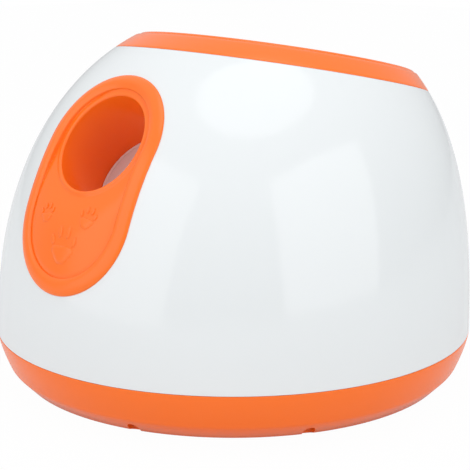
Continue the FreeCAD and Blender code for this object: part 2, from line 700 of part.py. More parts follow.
def launch_tube():
    """The tube with its flanges, the drop hole's spigot and the slot that the rack runs in."""
    length = tube_end - TUNNEL_DEPTH
    tube = rod(at(TUNNEL_DEPTH), inward, length, tube_radius)
    front = rod(at(TUNNEL_DEPTH), inward, TUBE_FLANGE_THICKNESS, flange_radius)
    rear = rod(at(tube_end - TUBE_FLANGE_THICKNESS), inward, TUBE_FLANGE_THICKNESS, flange_radius)
    spigot = rod(at(drop_depth), rise_up, SPIGOT_RISE, spigot_radius)
    tube = joined([tube, front, rear, spigot])
    bore = rod(at(TUNNEL_DEPTH - 1), inward, length + 2, bore_radius)
    drop = rod(at(drop_depth), rise_up, SPIGOT_RISE + 1, drop_radius)
    half = RACK_WIDTH / 2 + RACK_SLOT_CLEARANCE
    slot_low = PISTON_DEPTH - 0.5
    slot = [at(slot_low, -flange_radius - 1, -half), at(tube_end + 1, -flange_radius - 1, -half)]
    slot += [at(tube_end + 1, -bore_radius + 4, -half), at(slot_low, -bore_radius + 4, -half)]
    slot = Part.Face(Part.makePolygon(slot + slot[:1])).extrude(X * (2 * half))
    holes = flange_holes(TUNNEL_DEPTH - 1, SCREW_HOLE_RADIUS)
    holes += flange_holes(tube_end - TUBE_FLANGE_THICKNESS - 1, SCREW_RADIUS + 0.05)
    return tube.cut([bore, drop, slot] + holes)


def rear_cap():
    """The plate that closes the tube and carries the spring's guide post."""
    plate = rod(at(tube_end), inward, TUBE_FLANGE_THICKNESS, flange_radius)
    post = rod(at(tube_end), inward * -1, SPRING_POST_LENGTH, SPRING_POST_RADIUS)
    hollow = rod(at(tube_end + 1), inward * -1, SPRING_POST_LENGTH + 2, SPRING_POST_RADIUS - PISTON_WALL)
    return joined([plate, post]).cut([hollow] + flange_holes(tube_end - 1, SCREW_HOLE_RADIUS))


def piston():
    """A cup with the rack along its underside."""
    length = skirt_end - PISTON_DEPTH
    cup = rod(at(PISTON_DEPTH), inward, length, piston_radius)
    inside = rod(at(PISTON_DEPTH + PISTON_HEAD), inward, length, piston_radius - PISTON_WALL)
    seat = rod(at(PISTON_DEPTH), inward, PAD_THICKNESS + PAD_RECESS, pad_radius + 0.1)
    return joined([cup.cut(inside), rack()]).cut(seat)


def piston_pad():
    return rod(at(PISTON_DEPTH + PAD_RECESS), inward, PAD_THICKNESS - 0.1, pad_radius)


def launch_spring():
    """A coil of wire with a six-sided section, from the piston's head to the rear cap."""
    low = PISTON_DEPTH + PISTON_HEAD + SPRING_WIRE + 0.2
    high = tube_end - SPRING_WIRE - 0.2
    helix = Part.makeHelix((high - low) / SPRING_TURNS, high - low, SPRING_RADIUS)
    section = []
    for i in range(7):
        side, up = SPRING_WIRE * math.cos(rad(60 * i)), SPRING_WIRE * math.sin(rad(60 * i))
        section.append(V(SPRING_RADIUS + side, 0, up))
    coil = Part.Wire(helix).makePipeShell([Part.makePolygon(section)], True, True)
    coil.Placement = FreeCAD.Placement(at(low), FreeCAD.Rotation(Z, inward))
    return coil


def rack_buffer():
    """The rubber block in the slot's front end that stops the rack."""
    front = TUNNEL_DEPTH + TUBE_FLANGE_THICKNESS + 0.1
    overhang = rack_pitch / 4 + DEDENDUM * RACK_MODULE * math.tan(rad(PRESSURE_ANGLE))
    stop = sector_depth - stroke - overhang - 0.3
    low, high, side = -flange_radius + 1, -tube_radius - 0.1, -RACK_WIDTH / 2
    corners = [at(front, low, side), at(stop, low, side), at(stop, high, side), at(front, high, side)]
    return Part.Face(Part.makePolygon(corners + corners[:1])).extrude(X * RACK_WIDTH)


def tube_screws():
    screws = []
    for x, rise in flange_places():
        tip = at(TUNNEL_DEPTH - TUBE_FLANGE_THICKNESS, rise, x)
        screws.append(screw(tip, inward, 2 * TUBE_FLANGE_THICKNESS))
        tip = at(tube_end - TUBE_FLANGE_THICKNESS, rise, x)
        screws.append(screw(tip, inward, 2 * TUBE_FLANGE_THICKNESS))
    return screws


# ---------------------------------------------------------------- gear train
def across(x_low, x_high, axis, radius):
    """A rod along X about a gear's axis."""
    return rod(V(x_low, axis.y, axis.z), X, x_high - x_low, radius)


def sector_gear():
    """Output wheel and sector in one moulding."""
    wheel = gear(sector_axis, TRAIN_MODULE, OUTPUT_TEETH, output_phase, output_low, output_high)
    hub_low, hub_high = left_plate_inner + 0.3, right_plate_inner - 0.3
    hub = across(hub_low, hub_high, sector_axis, 2 * SHAFT_RADIUS)
    drum = across(-RACK_WIDTH / 2, output_high, sector_axis, 4 * SHAFT_RADIUS)
    return joined([wheel, sector(), hub, drum]).cut(across(-FAR, FAR, sector_axis, SHAFT_RADIUS + 0.02))


def idler(axis, teeth, phase, pinion_phase, pinion_low, wheel_low, wheel_high):
    """A compound wheel: pinion, wheel and a hub that reaches both plates."""
    pinion = gear(axis, TRAIN_MODULE, IDLER_PINION_TEETH, pinion_phase, pinion_low, wheel_low)
    wheel = gear(axis, TRAIN_MODULE, teeth, phase, wheel_low, wheel_high)
    hub = across(left_plate_inner + 0.3, right_plate_inner - 0.3, axis, HUB_RADIUS)
    return joined([pinion, wheel, hub]).cut(across(-FAR, FAR, axis, PIN_RADIUS + RUNNING_GAP))


def idler_a():
    """The first idler: its pinion meets the output wheel."""
    layers = output_low - 0.5, idler_a_low, idler_a_high
    return idler(idler_a_axis, IDLER_A_TEETH, idler_a_phase, idler_a_pinion_phase, *layers)


def idler_b():
    """The second idler: the motor drives its wheel, and its pinion meets the first idler."""
    layers = idler_a_low - 0.5, idler_b_low, idler_b_high
    return idler(idler_b_axis, IDLER_B_TEETH, idler_b_phase, idler_b_pinion_phase, *layers)


def plate_outline():
    """The gearbox plates' outline: feet on the floor, and up to the launch tube."""
    front = idler_b_axis.y - TRAIN_MODULE * IDLER_B_TEETH / 2 + PLATE_MARGIN
    back = sector_axis.y + sector_radius + 4 * PLATE_MARGIN
    shoulder = at(sector_depth - 3 * sector_radius, -rack_line - sector_radius / 2)
    top_front = at(sector_depth - 2 * sector_radius, -tube_radius / 2)
    top_back = at(sector_depth + sector_radius, -tube_radius / 2)
    outline = [(front, floor_top), (back, floor_top), (top_back.y, top_back.z), (top_front.y, top_front.z)]
    return outline + [(shoulder.y, shoulder.z), (front, idler_b_axis.z + PLATE_MARGIN)]


def gearbox_plate(low, high, flange_low, flange_high):
    """A side plate of the gearbox with its foot, trimmed to cradle the launch tube."""
    outline = plate_outline()
    plate = prism_x(outline, low, high)
    foot_top = floor_top + FOOT_FLANGE_THICKNESS
    foot = block(V(flange_low, outline[0][0], floor_top), V(flange_high, outline[1][0], foot_top))
    clear = rod(at(0), inward, tube_end, tube_radius + FIT_GAP)
    plate = joined([plate, foot]).cut(clear)
    plate = plate.cut(across(-FAR, FAR, sector_axis, SHAFT_RADIUS + RUNNING_GAP + BUSH_WALL))
    plate = plate.cut([across(-FAR, FAR, axis, PIN_RADIUS) for axis in (idler_a_axis, idler_b_axis)])
    holes = [rod(V(x, y, 0), Z, 2 * floor_top, SCREW_HOLE_RADIUS) for x, y in foot_screw_places()]
    return plate.cut(holes)


def foot_screw_places():
    """The four screws that hold the plates' feet on the base's floor."""
    outline = plate_outline()
    left, right = left_plate_outer - FOOT_FLANGE / 2, right_plate_outer + FOOT_FLANGE / 2
    front, back = outline[0][0] + 2 * PLATE_MARGIN, outline[1][0] - 2 * PLATE_MARGIN
    return [(x, y) for x in (left, right) for y in (front, back)]


def left_plate():
    return gearbox_plate(left_plate_outer, left_plate_inner, left_plate_outer - FOOT_FLANGE, left_plate_inner)


def right_plate():
    foot_end = right_plate_outer + FOOT_FLANGE
    plate = gearbox_plate(right_plate_inner, right_plate_outer, right_plate_inner, foot_end)
    plate = plate.cut(across(0, FAR, motor_axis, MOTOR_BOSS_RADIUS + FIT_GAP))
    return plate.cut([across(0, FAR, place, SCREW_RADIUS) for place in motor_screw_places()])


def motor_screw_places():
    turned = rad(MOTOR_ANGLE + 90)
    reach = V(0, math.cos(turned), math.sin(turned)) * (MOTOR_SCREW_SPACING / 2)
    return [motor_axis + reach, motor_axis - reach]


def gearbox_posts():
    """The three spacers between the plates."""
    outline = plate_outline()
    low = floor_top + FOOT_FLANGE_THICKNESS + POST_RADIUS
    places = [V(0, outline[0][0] + PLATE_MARGIN, low), V(0, outline[1][0] - PLATE_MARGIN, low)]
    places.append(V(0, outline[4][0] + 2 * POST_RADIUS, outline[4][1] - POST_RADIUS))
    return [across(left_plate_inner, right_plate_inner, place, POST_RADIUS) for place in places]


def shaft_bushes():
    """A flanged bush in each plate for the output shaft."""
    radius = SHAFT_RADIUS + RUNNING_GAP + BUSH_WALL
    left, right = (left_plate_inner, left_plate_outer, -1), (right_plate_inner, right_plate_outer, 1)
    bushes = []
    for inner, outer, side in (left, right):
        body = across(min(inner, outer), max(inner, outer), sector_axis, radius - 0.02)
        flange_far = outer + side * BUSH_FLANGE
        flange = across(min(outer, flange_far), max(outer, flange_far), sector_axis, radius + BUSH_FLANGE)
        bushes.append(joined([body, flange]).cut(across(-FAR, FAR, sector_axis, SHAFT_RADIUS + RUNNING_GAP)))
    return bushes


def motor():
    """The motor's can with flats and its front boss."""
    start = right_plate_outer
    end = start + MOTOR_LENGTH - MOTOR_END
    can = across(start, end, motor_axis, MOTOR_RADIUS)
    low = V(start, motor_axis.y - MOTOR_RADIUS, motor_axis.z - MOTOR_FLAT)
    flats = block(low, V(end, motor_axis.y + MOTOR_RADIUS, motor_axis.z + MOTOR_FLAT))
    boss = across(start - MOTOR_BOSS, start, motor_axis, MOTOR_BOSS_RADIUS)
    holes = [across(start - 1, start + 4, place, SCREW_RADIUS) for place in motor_screw_places()]
    shaft = across(start - MOTOR_BOSS - 1, start + 12, motor_axis, MOTOR_SHAFT_RADIUS + RUNNING_GAP)
    return joined([can.common(flats), boss]).cut([shaft] + holes)


def motor_end():
    """The plastic end of the motor with its rear bearing and the two solder tabs."""
    start = right_plate_outer + MOTOR_LENGTH - MOTOR_END
    back = start + MOTOR_END
    flat = MOTOR_FLAT - 0.6
    low = V(start, motor_axis.y - MOTOR_RADIUS, motor_axis.z - flat)
    flats = block(low, V(back, motor_axis.y + MOTOR_RADIUS, motor_axis.z + flat))
    end = across(start, back, motor_axis, MOTOR_RADIUS - 0.6).common(flats)
    boss = across(back, back + 1.5, motor_axis, 3.5)
    tabs = []
    for y in (motor_axis.y - MOTOR_TAB_PLACE, motor_axis.y + MOTOR_TAB_PLACE):
        tabs.append(block(V(back, y - 0.3, motor_axis.z - 1.4), V(back + 5, y + 0.3, motor_axis.z + 1.4)))
    return joined([end, boss] + tabs)


def motor_pinion():
    low, high = idler_b_low - 0.5, right_plate_inner - 0.9
    teeth = gear(motor_axis, TRAIN_MODULE, MOTOR_PINION_TEETH, motor_pinion_phase, low, high)
    return teeth.cut(across(-FAR, FAR, motor_axis, MOTOR_SHAFT_RADIUS + 0.02))


def motor_shaft():
    return across(idler_b_low - 0.5, right_plate_outer + 11.5, motor_axis, MOTOR_SHAFT_RADIUS)


# ---------------------------------------------------------------- batteries
def cell_places():
    """Centres of the cells and the way each one points."""
    places = []
    for row in range(ROW_COUNT):
        y = bay_front + BOX_ROOM + CELL_RADIUS + row * cell_pitch
        way = 1 if row % 2 == 0 else -1
        for i in range(CELL_COUNT):
            places.append((V((i - (CELL_COUNT - 1) / 2) * CELL_LENGTH, y, cell_height), way))
    return places


def battery_cells():
    cells = []
    for centre, way in cell_places():
        start = centre - X * (way * CELL_LENGTH / 2)
        can = rod(start, X * way, CELL_LENGTH - CELL_NUB, CELL_RADIUS)
        nub = rod(start + X * (way * (CELL_LENGTH - CELL_NUB)), X * way, CELL_NUB, CELL_NUB_RADIUS)
        cells.append(can.fuse(nub))
    return cells


def battery_box():
    """The bay moulding over the opening in the floor, with a rib between the rows."""
    wall = V(BOX_WALL, BOX_WALL, 0)
    low, high = V(-bay_half_length, bay_front, floor_top), V(bay_half_length, bay_back, bay_top)
    outer = block(low - wall, high + wall + Z * BOX_WALL)
    inner = block(low - Z, high)
    box = outer.cut(inner)
    ribs = []
    for row in range(1, ROW_COUNT):
        y = bay_front + BOX_ROOM + row * cell_pitch - CELL_GAP / 2
        half = CELL_GAP / 2 - 0.2
        for x in (-CELL_LENGTH / 2, CELL_LENGTH / 2):
            ribs.append(block(V(x - 1, y - half, cell_height), V(x + 1, y + half, bay_top)))
    return joined([box] + ribs)


def battery_contacts():
    """A bowed leaf at each end of each row."""
    leaves = []
    reach = bay_half_length - CELL_COUNT * CELL_LENGTH / 2 - 0.2
    for row in range(ROW_COUNT):
        y = bay_front + BOX_ROOM + CELL_RADIUS + row * cell_pitch
        for side in (-1, 1):
            wall = side * (bay_half_length - 0.05)
            tip = wall - side * (reach - CONTACT_THICKNESS)
            t = side * CONTACT_THICKNESS
            outline = [(wall, y - 9), (wall, y + 9), (wall - t, y + 9), (wall - t, y + 5)]
            outline += [(tip - t, y), (wall - t, y - 5), (wall - t, y - 9)]
            hollow = [(wall - t, y - 4.4), (tip, y), (wall - t, y + 4.4)]
            leaf = prism_z(outline, cell_height - 4, cell_height + 4)
            leaves.append(leaf.cut(prism_z(hollow, cell_height - 5, cell_height + 5)))
    return leaves


def prism_z(points, z_low, z_high):
    """A polygon of (x, y) points carried along Z."""
    corners = [V(x, y, z_low) for x, y in points]
    return Part.Face(Part.makePolygon(corners + corners[:1])).extrude(Z * (z_high - z_low))


def battery_door():
    """The door under the cells: hinge pins at its front edge and a latch tongue at its back."""
    half = bay_half_length - DOOR_GAP
    high = V(half, bay_back - DOOR_GAP, FLOOR_HEIGHT + DOOR_THICKNESS)
    leaf = block(V(-half, bay_front + DOOR_GAP, FLOOR_HEIGHT), high)
    pins = []
    for side in (-1, 1):
        start = V(side * (half - 1), hinge_y, FLOOR_HEIGHT)
        pins.append(rod(start, X * side, DOOR_GAP + HINGE_LENGTH, HINGE_RADIUS))
    grooves = []
    for back in (bay_back - 6, bay_back - 10, bay_back - 14):
        grooves.append(block(V(-20, back - 2, 0), V(20, back, FLOOR_HEIGHT + 0.6)))
    return joined([leaf] + pins).cut(grooves)


# ---------------------------------------------------------------- control panel
def panel_prism(half_width, low, high):
    reach = PANEL_HALF_HEIGHT - PANEL_HALF_WIDTH
    return stadium(V(0, panel_y, PANEL_HEIGHT), Z, Y, half_width, reach, -reach, low, high)


def on_panel(rise, x=0.0, y=panel_back):
    return V(x, y, PANEL_HEIGHT + rise)


def led_places():
    return [LED_SPACING * (i - (LED_COUNT - 1) / 2) for i in range(LED_COUNT)]


def board_post_places():
    return [(x, rise) for x in (-BOARD_POST_X, BOARD_POST_X) for rise in BOARD_POST_RISES]


def control_panel():
    """The oval panel in the back of the dome, with posts for the board."""
    plug = PANEL_HALF_WIDTH - PANEL_OVERLAP - FIT_GAP
    body = dome(PANEL_PROUD).common(panel_prism(PANEL_HALF_WIDTH, -PANEL_THICKNESS, 10))
    body = body.cut(dome(BEZEL_SEAT).cut(panel_prism(plug, -30, 30)))
    posts = []
    for x, rise in board_post_places():
        posts.append(rod(on_panel(rise, x, panel_back + 0.5), Y * -1, BOARD_DEPTH + 0.5, BOARD_POST_RADIUS))
    body = joined([body] + posts)
    cuts = []
    for rise in (POWER_RISE, DISTANCE_RISE):
        cuts.append(rod(on_panel(rise, 0, panel_back - 1), Y, 20, BUTTON_RADIUS + BUTTON_GAP))
    cuts += [rod(on_panel(LED_RISE, x, panel_back - 1), Y, 20, LED_RADIUS + 0.1) for x in led_places()]
    cuts.append(rod(on_panel(JACK_RISE, 0, panel_back - 1), Y, 20, JACK_NOSE_RADIUS + FIT_GAP))
    cuts += [rod(on_panel(rise, x, board_front - 1), Y, 8, SCREW_RADIUS) for x, rise in board_post_places()]
    return body.cut(cuts)


def button(rise):
    """A round key with a crowned face, a retaining flange and a stem."""
    key = rod(on_panel(rise, 0, panel_back - BUTTON_GAP), Y, 20, BUTTON_RADIUS).common(dome(BUTTON_PROUD))
    flange = rod(on_panel(rise, 0, panel_back - BUTTON_GAP), Y * -1, BUTTON_FLANGE, BUTTON_RADIUS + 1.2)
    stem_length = BOARD_DEPTH - BUTTON_GAP - SWITCH_HEIGHT - BUTTON_TRAVEL - 0.2
    stem = rod(on_panel(rise, 0, panel_back - BUTTON_GAP), Y * -1, stem_length, 2.0)
    return joined([key, flange, stem])


def indicator_lenses():
    lenses = []
    for x in led_places():
        pipe = rod(on_panel(LED_RISE, x, panel_back - 2), Y, 20, LED_RADIUS).common(dome(PANEL_PROUD + 0.3))
        collar = rod(on_panel(LED_RISE, x, panel_back - 2), Y, 1.8, LED_RADIUS + 0.6)
        lenses.append(joined([pipe, collar]))
    return lenses


def control_board():
    half_height = PANEL_HALF_HEIGHT - 4
    low = V(-BOARD_HALF_WIDTH, board_front - BOARD_THICKNESS, PANEL_HEIGHT - half_height)
    board = block(low, V(BOARD_HALF_WIDTH, board_front, PANEL_HEIGHT + half_height))
    places = [on_panel(rise, x, board_front - 5) for x, rise in board_post_places()]
    return board.cut([rod(place, Y, 10, SCREW_HOLE_RADIUS) for place in places])


def tact_switches():
    switches = []
    half = SWITCH_SIZE / 2
    for rise in (POWER_RISE, DISTANCE_RISE):
        z = PANEL_HEIGHT + rise
        body = block(V(-half, board_front, z - half), V(half, board_front + SWITCH_HEIGHT - 1, z + half))
        switches.append(joined([body, rod(V(0, board_front, z), Y, SWITCH_HEIGHT, 1.7)]))
    return switches


def indicator_leds():
    length = BOARD_DEPTH - 2.3
    return [rod(on_panel(LED_RISE, x, board_front), Y, length, LED_RADIUS) for x in led_places()]


def dc_jack():
    """The power socket: a block on the board and a nose in the panel, bored for the plug."""
    z = PANEL_HEIGHT + JACK_RISE
    nose_end = dome_centre(z) + dome_radius(z) + PANEL_PROUD - 0.3
    half = JACK_BODY / 2
    body = block(V(-half, board_front, z - half), V(half, panel_back - 0.3, z + half))
    nose = rod(V(0, board_front, z), Y, nose_end - board_front, JACK_NOSE_RADIUS)
    bore = rod(V(0, nose_end - JACK_LENGTH, z), Y, JACK_LENGTH + 1, JACK_RADIUS)
    return joined([body, nose]).cut(bore)


def board_screws():
    places = [on_panel(rise, x, board_front + 5) for x, rise in board_post_places()]
    length = 5 + BOARD_THICKNESS
    return [screw(place, Y * -1, length, SCREW_RADIUS - 0.05, SCREW_HEAD_RADIUS - 0.5) for place in places]


# ---------------------------------------------------------------- fasteners, feet and sensors
def housing_screws():
    return [screw(V(x, y, WELL_CEILING + 14), Z * -1, 14) for x, y in well_places()]


def gearbox_screws():
    length = FLOOR_THICKNESS + FOOT_FLANGE_THICKNESS
    return [screw(V(x, y, FLOOR_HEIGHT), Z, length) for x, y in foot_screw_places()]


def motor_screws():
    tips = [V(right_plate_outer + 3.5, place.y, place.z) for place in motor_screw_places()]
    length = 3.5 + PLATE_THICKNESS
    return [screw(tip, X * -1, length, SCREW_RADIUS - 0.05, 2.0) for tip in tips]


def rubber_feet():
    feet = []
    for angle in FOOT_ANGLES:
        place = V(FOOT_PLACE * math.cos(rad(angle)), FOOT_PLACE * math.sin(rad(angle)), 0)
        feet.append(rod(place, Z, FLOOR_HEIGHT, FOOT_RADIUS))
    return feet


def barrel_cradle():
    """Two ribs on a foot that carry the tube's rear end."""
    rear = at(tube_end - 2 * TUBE_FLANGE_THICKNESS, -tube_radius)
    front = at(tube_end - 12 * TUBE_FLANGE_THICKNESS, -tube_radius / 2)
    outline = [(front.y, floor_top), (rear.y, floor_top), (rear.y, rear.z + 12), (front.y, front.z)]
    half = RACK_WIDTH / 2 + RACK_SLOT_CLEARANCE + 3
    ribs = [prism_x(outline, x, x + 4) for x in (-half - 4, half)]
    foot = block(V(-half - 8, front.y, floor_top), V(half + 8, rear.y, floor_top + 2))
    clear = rod(at(0), inward, tube_end + 10, tube_radius + FIT_GAP)
    flange = rod(at(tube_end - TUBE_FLANGE_THICKNESS - 0.3), inward, 20, flange_radius + FIT_GAP)
    return joined(ribs + [foot]).cut([clear, flange])


def sensor(side):
    start = at(drop_depth, sensor_rise, side * (drop_radius + 0.6))
    lens = rod(start, X * side, SENSOR_LENGTH, SENSOR_RADIUS)
    brim = rod(at(drop_depth, sensor_rise, side * spout_radius), X * side, 1.0, SENSOR_RADIUS + 0.8)
    return joined([lens, brim])


def gear_pins():
    axes = (idler_a_axis, idler_b_axis)
    return [across(left_plate_outer, right_plate_outer, axis, PIN_RADIUS - 0.01) for axis in axes]


# ---------------------------------------------------------------- output
def save(name, shape):
    """Write one sub-part; a list is a group of separate solids."""
    if isinstance(shape, list):
        shape = Part.makeCompound(shape)
    shape.exportStep(os.path.join("parts", name + ".step"))


def main():
    os.makedirs("parts", exist_ok=True)
    save("base_tray", base_tray())
    save("dome_shell", dome_shell())
    save("hopper_funnel", hopper())
    save("port_bezel", port_bezel())
    save("launch_tube", launch_tube())
    save("tube_rear_cap", rear_cap())
    save("piston", piston())
    save("piston_pad", piston_pad())
    save("launch_spring", launch_spring())
    save("rack_buffer", rack_buffer())
    save("tube_screws", tube_screws())
    save("tube_cradle", barrel_cradle())
    save("sector_gear", sector_gear())
    save("output_shaft", across(left_plate_outer - 2, right_plate_outer + 2, sector_axis, SHAFT_RADIUS))
    save("idler_gear_a", idler_a())
    save("idler_gear_b", idler_b())
    save("gear_pins", gear_pins())
    save("gearbox_left_plate", left_plate())
    save("gearbox_right_plate", right_plate())
    save("gearbox_posts", gearbox_posts())
    save("gearbox_screws", gearbox_screws())
    save("shaft_bushes", shaft_bushes())
    save("motor", motor())
    save("motor_end", motor_end())
    save("motor_pinion", motor_pinion())
    save("motor_shaft", motor_shaft())
    save("motor_screws", motor_screws())
    save("battery_box", battery_box())
    save("battery_cells", battery_cells())
    save("battery_contacts", battery_contacts())
    save("battery_door", battery_door())
    save("control_panel", control_panel())
    save("power_button", button(POWER_RISE))
    save("distance_button", button(DISTANCE_RISE))
    save("indicator_lenses", indicator_lenses())
    save("indicator_leds", indicator_leds())
    save("control_board", control_board())
    save("tact_switches", tact_switches())
    save("dc_jack", dc_jack())
    save("board_screws", board_screws())
    save("housing_screws", housing_screws())
    save("rubber_feet", rubber_feet())
    save("sensor_emitter", sensor(-1))
    save("sensor_receiver", sensor(1))


main()
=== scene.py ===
"""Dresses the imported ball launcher: smooth moulded shells, relief, finishes, and a studio to show it in."""

import json
import math

import bmesh
import bpy
import numpy as np
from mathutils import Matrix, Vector

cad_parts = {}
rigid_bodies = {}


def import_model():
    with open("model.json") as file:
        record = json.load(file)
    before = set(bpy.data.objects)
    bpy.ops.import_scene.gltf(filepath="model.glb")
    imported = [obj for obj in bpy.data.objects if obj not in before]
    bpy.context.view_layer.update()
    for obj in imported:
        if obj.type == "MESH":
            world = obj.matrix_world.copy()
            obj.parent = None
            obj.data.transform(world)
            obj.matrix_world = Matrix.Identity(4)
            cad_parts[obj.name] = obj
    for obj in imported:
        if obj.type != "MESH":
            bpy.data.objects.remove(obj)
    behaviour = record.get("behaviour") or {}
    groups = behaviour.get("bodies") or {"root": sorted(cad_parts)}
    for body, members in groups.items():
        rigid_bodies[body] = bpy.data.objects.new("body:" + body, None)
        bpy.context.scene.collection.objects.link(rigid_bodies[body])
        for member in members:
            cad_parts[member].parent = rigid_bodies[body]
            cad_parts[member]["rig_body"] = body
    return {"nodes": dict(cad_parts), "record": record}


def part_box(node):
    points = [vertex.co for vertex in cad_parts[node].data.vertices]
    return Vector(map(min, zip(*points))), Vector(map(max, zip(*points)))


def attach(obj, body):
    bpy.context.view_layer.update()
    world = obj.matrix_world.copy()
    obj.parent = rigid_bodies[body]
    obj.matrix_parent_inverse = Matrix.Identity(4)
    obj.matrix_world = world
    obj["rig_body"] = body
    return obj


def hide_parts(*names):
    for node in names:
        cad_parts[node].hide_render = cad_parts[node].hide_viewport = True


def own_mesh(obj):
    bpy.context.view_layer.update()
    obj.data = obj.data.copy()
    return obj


bl_info = {
    "name": "Ball Launcher",
    "version": (1, 0, 0),
    "blender": (4, 5, 0),
    "location": "View3D > Sidebar > Launcher",
    "description": "Builds the visible pieces of an automatic ball launcher over its CAD frame",
    "category": "Object",
}

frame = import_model()
# CAD pieces that show as they are, in smooth copies
SHOWN = (
    "control_panel power_button distance_button indicator_lenses dc_jack rubber_feet battery_door "
    "launch_tube piston piston_pad housing_screws sensor_emitter sensor_receiver battery_box tube_rear_cap"
).split()
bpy.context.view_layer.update()  # before any piece is added
SLOTS = {row["node"]: row["material_slot"] for row in frame["record"]["subparts"]}
MM = 0.001
HALVINGS = 40  # steps that bring a search by halving below rounding error
OVERSHOOT = 0.002  # how far a knife runs past the face it cuts
ACROSS = np.array([1.0, 0, 0])
WELL_ANGLES = (20, 62, 118, 160, 208, 250, 290, 332)  # degrees from +X, where the base's screws stand


# ---------------------------------------------------------------- sizes and colours
def number(name, description, default, **kind):
    return bpy.props.FloatProperty(name=name, description=description, default=default, **kind)


def length(name, description, default):
    return number(name, description, default, unit="LENGTH", precision=5)


def share(name, description, default):
    return number(name, description, default, subtype="FACTOR", min=0, max=1)


def angle(name, description, default):
    """A setting whose default is given in degrees."""
    return number(name, description, math.radians(default), subtype="ANGLE")


def colour(name, description, default):
    return bpy.props.StringProperty(name=name, description=description, default=default)


class LauncherHousing(bpy.types.PropertyGroup):
    radius: length("Body radius", "Radius of the housing at its widest", 0.1375)
    widest: length("Widest height", "Height of the widest circle", 0.022)
    crown: length("Crown rise", "From the widest circle to where the profile would close", 0.1912)
    power: number("Crown power", "Exponent of the side profile", 2.49)
    lean: length("Crown lean", "How far back the crown lies", 0.021)
    seam: length("Seam height", "Height of the joint between base and dome", 0.0334)
    wall: length("Wall", "Thickness of the moulded shells", 0.0025)
    edge: length("Edge rounding", "Rounding of the moulded edges at the seams", 0.0003)
    joint: length("Joint gap", "Gap that shows between two shells", 0.00008)
    rim_height: length("Rim height", "Height of the rim's plane over the origin", 0.1947)
    rim_tilt: angle("Rim tilt", "How far the rim's plane falls towards the back", 11.9)
    collar: length("Collar height", "Height of the hopper's collar", 0.0109)
    land: length("Rim land", "Width of the collar's top", 0.004)
    rim_rounding: length("Rim rounding", "Rounding of the collar's outer top edge", 0.0016)
    drop: length("Drop radius", "Radius of the hopper's throat", 0.0267)
    socket: length("Socket radius", "Radius of the spout's socket on the launch tube", 0.0291)
    spout: length("Spout radius", "Outer radius of the spout", 0.0313)
    drop_depth: length("Drop depth", "Where the drop meets the bore, from the mouth", 0.0647)


class LauncherBase(bpy.types.PropertyGroup):
    power: number("Side power", "Exponent of the base's side profile", 1.36)
    crease_radius: length("Crease radius", "Radius of the line where the side turns under", 0.1311)
    crease_height: length("Crease height", "Height of that line", 0.0143)
    crease_soft: length("Crease rounding", "How far the rounding reaches on each side of that line", 0.0013)
    turn_radius: length("Turned-under radius", "Where the turned-under band ends", 0.1235)
    turn_height: length("Turned-under height", "Height of the turned-under band's end", 0.0066)
    skirt_radius: length("Skirt radius", "Outer radius of the skirt that the launcher stands over", 0.1065)
    skirt_wall: length("Skirt wall", "Thickness of the skirt", 0.003)
    skirt_height: length("Skirt height", "Height of the skirt's edge over the table", 0.0008)
    under: length("Underside", "Height of the floor's underside", 0.003)
    floor: length("Floor", "Height of the floor's top", 0.0055)
    lip_low: length("Lip foot", "Height where the locating lip starts", 0.0254)
    lip_high: length("Lip top", "Height of the locating lip's top", 0.0374)
    lip_inner: length("Lip inner radius", "Inner radius of the locating lip", 0.133)
    lip_outer: length("Lip outer radius", "Outer radius of the locating lip", 0.1348)
    ledge: length("Screw ledge", "Inner radius of the thick ring that holds the screws", 0.1135)
    ledge_height: length("Screw ledge height", "Height of that ring's top", 0.0165)
    well_radius: length("Screw well radius", "Radius of each screw well", 0.0033)
    well_place: length("Screw well place", "Radius of the circle that the wells lie on", 0.121)
    well_depth: length("Screw well depth", "Height of each well's end, where the screw's head sits", 0.0122)
    well_reach: length("Screw well reach", "How far each well runs outwards, to break the side", 0.004)
    bay_half: length("Bay half width", "Half the width of the battery opening", 0.055)
    bay_front: length("Bay front", "Front edge of the battery opening", 0.03823)
    bay_back: length("Bay back", "Back edge of the battery opening", 0.09303)


